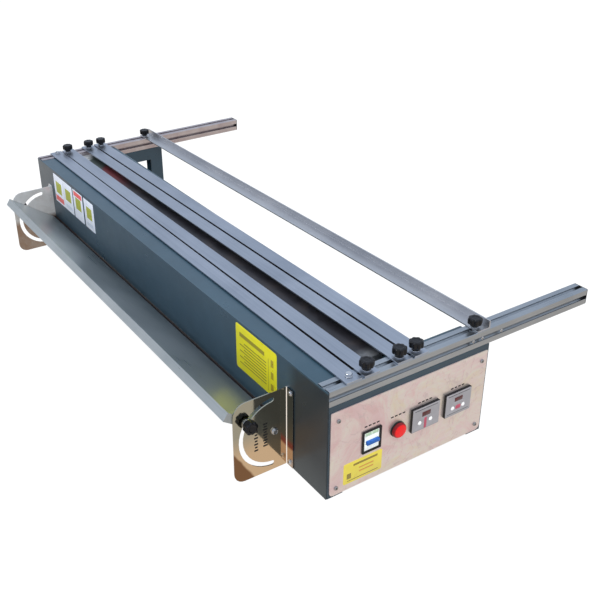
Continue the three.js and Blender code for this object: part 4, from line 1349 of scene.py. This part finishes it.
# ------------------------------------------------------------------ stage
def make_world():
    """Soft sky for lighting and reflections, plain white to the camera."""
    scene.world = bpy.data.worlds.new("soft_sky")
    sky = Shader(scene.world)
    generated = sky.node("ShaderNodeTexCoord").outputs["Generated"]
    height = sky.node("ShaderNodeSeparateXYZ", {0: generated}).outputs["Z"]
    colour = sky.ramp(height, [(0.0, (0.86, 0.83, 0.80)), (0.10, (0.74, 0.77, 0.82)),
                               (0.30, (0.55, 0.63, 0.76)), (0.62, (0.62, 0.72, 0.88)),
                               (1.0, (0.86, 0.93, 1.0))])
    to_camera = sky.node("ShaderNodeLightPath").outputs["Is Camera Ray"]
    colour = sky.mix(to_camera, colour, (1.18, 1.18, 1.18))
    background = sky.node("ShaderNodeBackground", {"Color": colour, "Strength": 0.86})
    sky.node("ShaderNodeOutputWorld", {"Surface": background.outputs[0]})


def make_floor():
    """Nearly white to the camera, a little warm in reflections."""
    material = bpy.data.materials.new("floor_pale")
    look = Shader(material)
    diffuse = look.node("ShaderNodeBsdfDiffuse", {"Color": (0.10, 0.10, 0.10)})
    glow = look.node("ShaderNodeEmission", {"Color": (0.97, 0.97, 0.97)})
    seen = look.node("ShaderNodeAddShader", {0: diffuse.outputs[0], 1: glow.outputs[0]})
    ray = look.node("ShaderNodeLightPath")
    warm = look.mix(ray.outputs["Is Glossy Ray"], (0.34, 0.33, 0.32), (0.60, 0.56, 0.52))
    bounced = look.node("ShaderNodeEmission", {"Color": warm})
    surface = look.node("ShaderNodeMixShader", {
        0: ray.outputs["Is Camera Ray"], 1: bounced.outputs[0], 2: seen.outputs[0]})
    look.node("ShaderNodeOutputMaterial", {"Surface": surface.outputs[0]})

    reach, z = 40.0, -0.0006
    data = bpy.data.meshes.new("floor")
    data.from_pydata([(-reach, -reach, z), (reach, -reach, z), (reach, reach, z),
                      (-reach, reach, z)], [], [(0, 1, 2, 3)])
    data.materials.append(material)
    floor = bpy.data.objects.new("floor", data)
    scene.collection.objects.link(floor)


def add_light(name, offset, energy, size, colour, glossy=False):
    """Disk light at an offset from the machine's centre, aimed at it."""
    centre = (cad_low + cad_high) / 2
    light = bpy.data.lights.new(name, "AREA")
    light.energy = energy
    light.color = colour
    light.shape = "DISK"
    light.size = size
    lamp = bpy.data.objects.new(name, light)
    scene.collection.objects.link(lamp)
    lamp.location = centre + Vector(offset)
    lamp.rotation_mode = "QUATERNION"
    aim = centre - (centre + Vector(offset))
    lamp.rotation_quaternion = aim.to_track_quat("-Z", "Y")
    lamp.visible_glossy = glossy


def make_camera():
    # azimuth, elevation and roll
    azimuth, elevation, roll = (math.radians(v) for v in (58.17, 27.94, -1.12))
    ahead = Vector((-math.sin(azimuth) * math.cos(elevation),
                    math.cos(azimuth) * math.cos(elevation), -math.sin(elevation)))
    level = ahead.cross(Vector((0, 0, 1))).normalized()
    upright = level.cross(ahead)
    right = math.cos(roll) * level + math.sin(roll) * upright
    up = -math.sin(roll) * level + math.cos(roll) * upright
    lens = bpy.data.cameras.new("camera")
    lens.sensor_width = 36
    lens.lens = 52.75
    lens.shift_x = 0.0699
    lens.shift_y = -0.0304
    lens.clip_start, lens.clip_end = 0.05, 200
    camera = bpy.data.objects.new("camera", lens)
    scene.collection.objects.link(camera)
    place = Matrix((right, up, -ahead)).transposed().to_4x4()
    place.translation = Vector((1.50579, -0.76489, 0.98216))
    camera.matrix_world = place
    scene.camera = camera


make_world()
make_floor()
add_light("key", (2.2, -1.2, 2.4), energy=30, size=1.8, colour=(1.0, 0.97, 0.94))
add_light("top", (-0.6, 0.6, 3.2), energy=46, size=2.6, colour=(0.93, 0.96, 1.0))
add_light("fill", (-2.4, -2.2, 1.4), energy=24, size=2.0, colour=(0.95, 0.97, 1.0))
add_light("rim", (0.4, 3.0, 1.9), energy=18, size=2.0, colour=(1.0, 0.98, 0.96))
add_light("glint", (0.2, -1.9, 2.6), energy=9, size=0.45, colour=(1.0, 1.0, 1.0), glossy=True)
make_camera()
scene.view_settings.view_transform = "Standard"
scene.view_settings.look = "None"
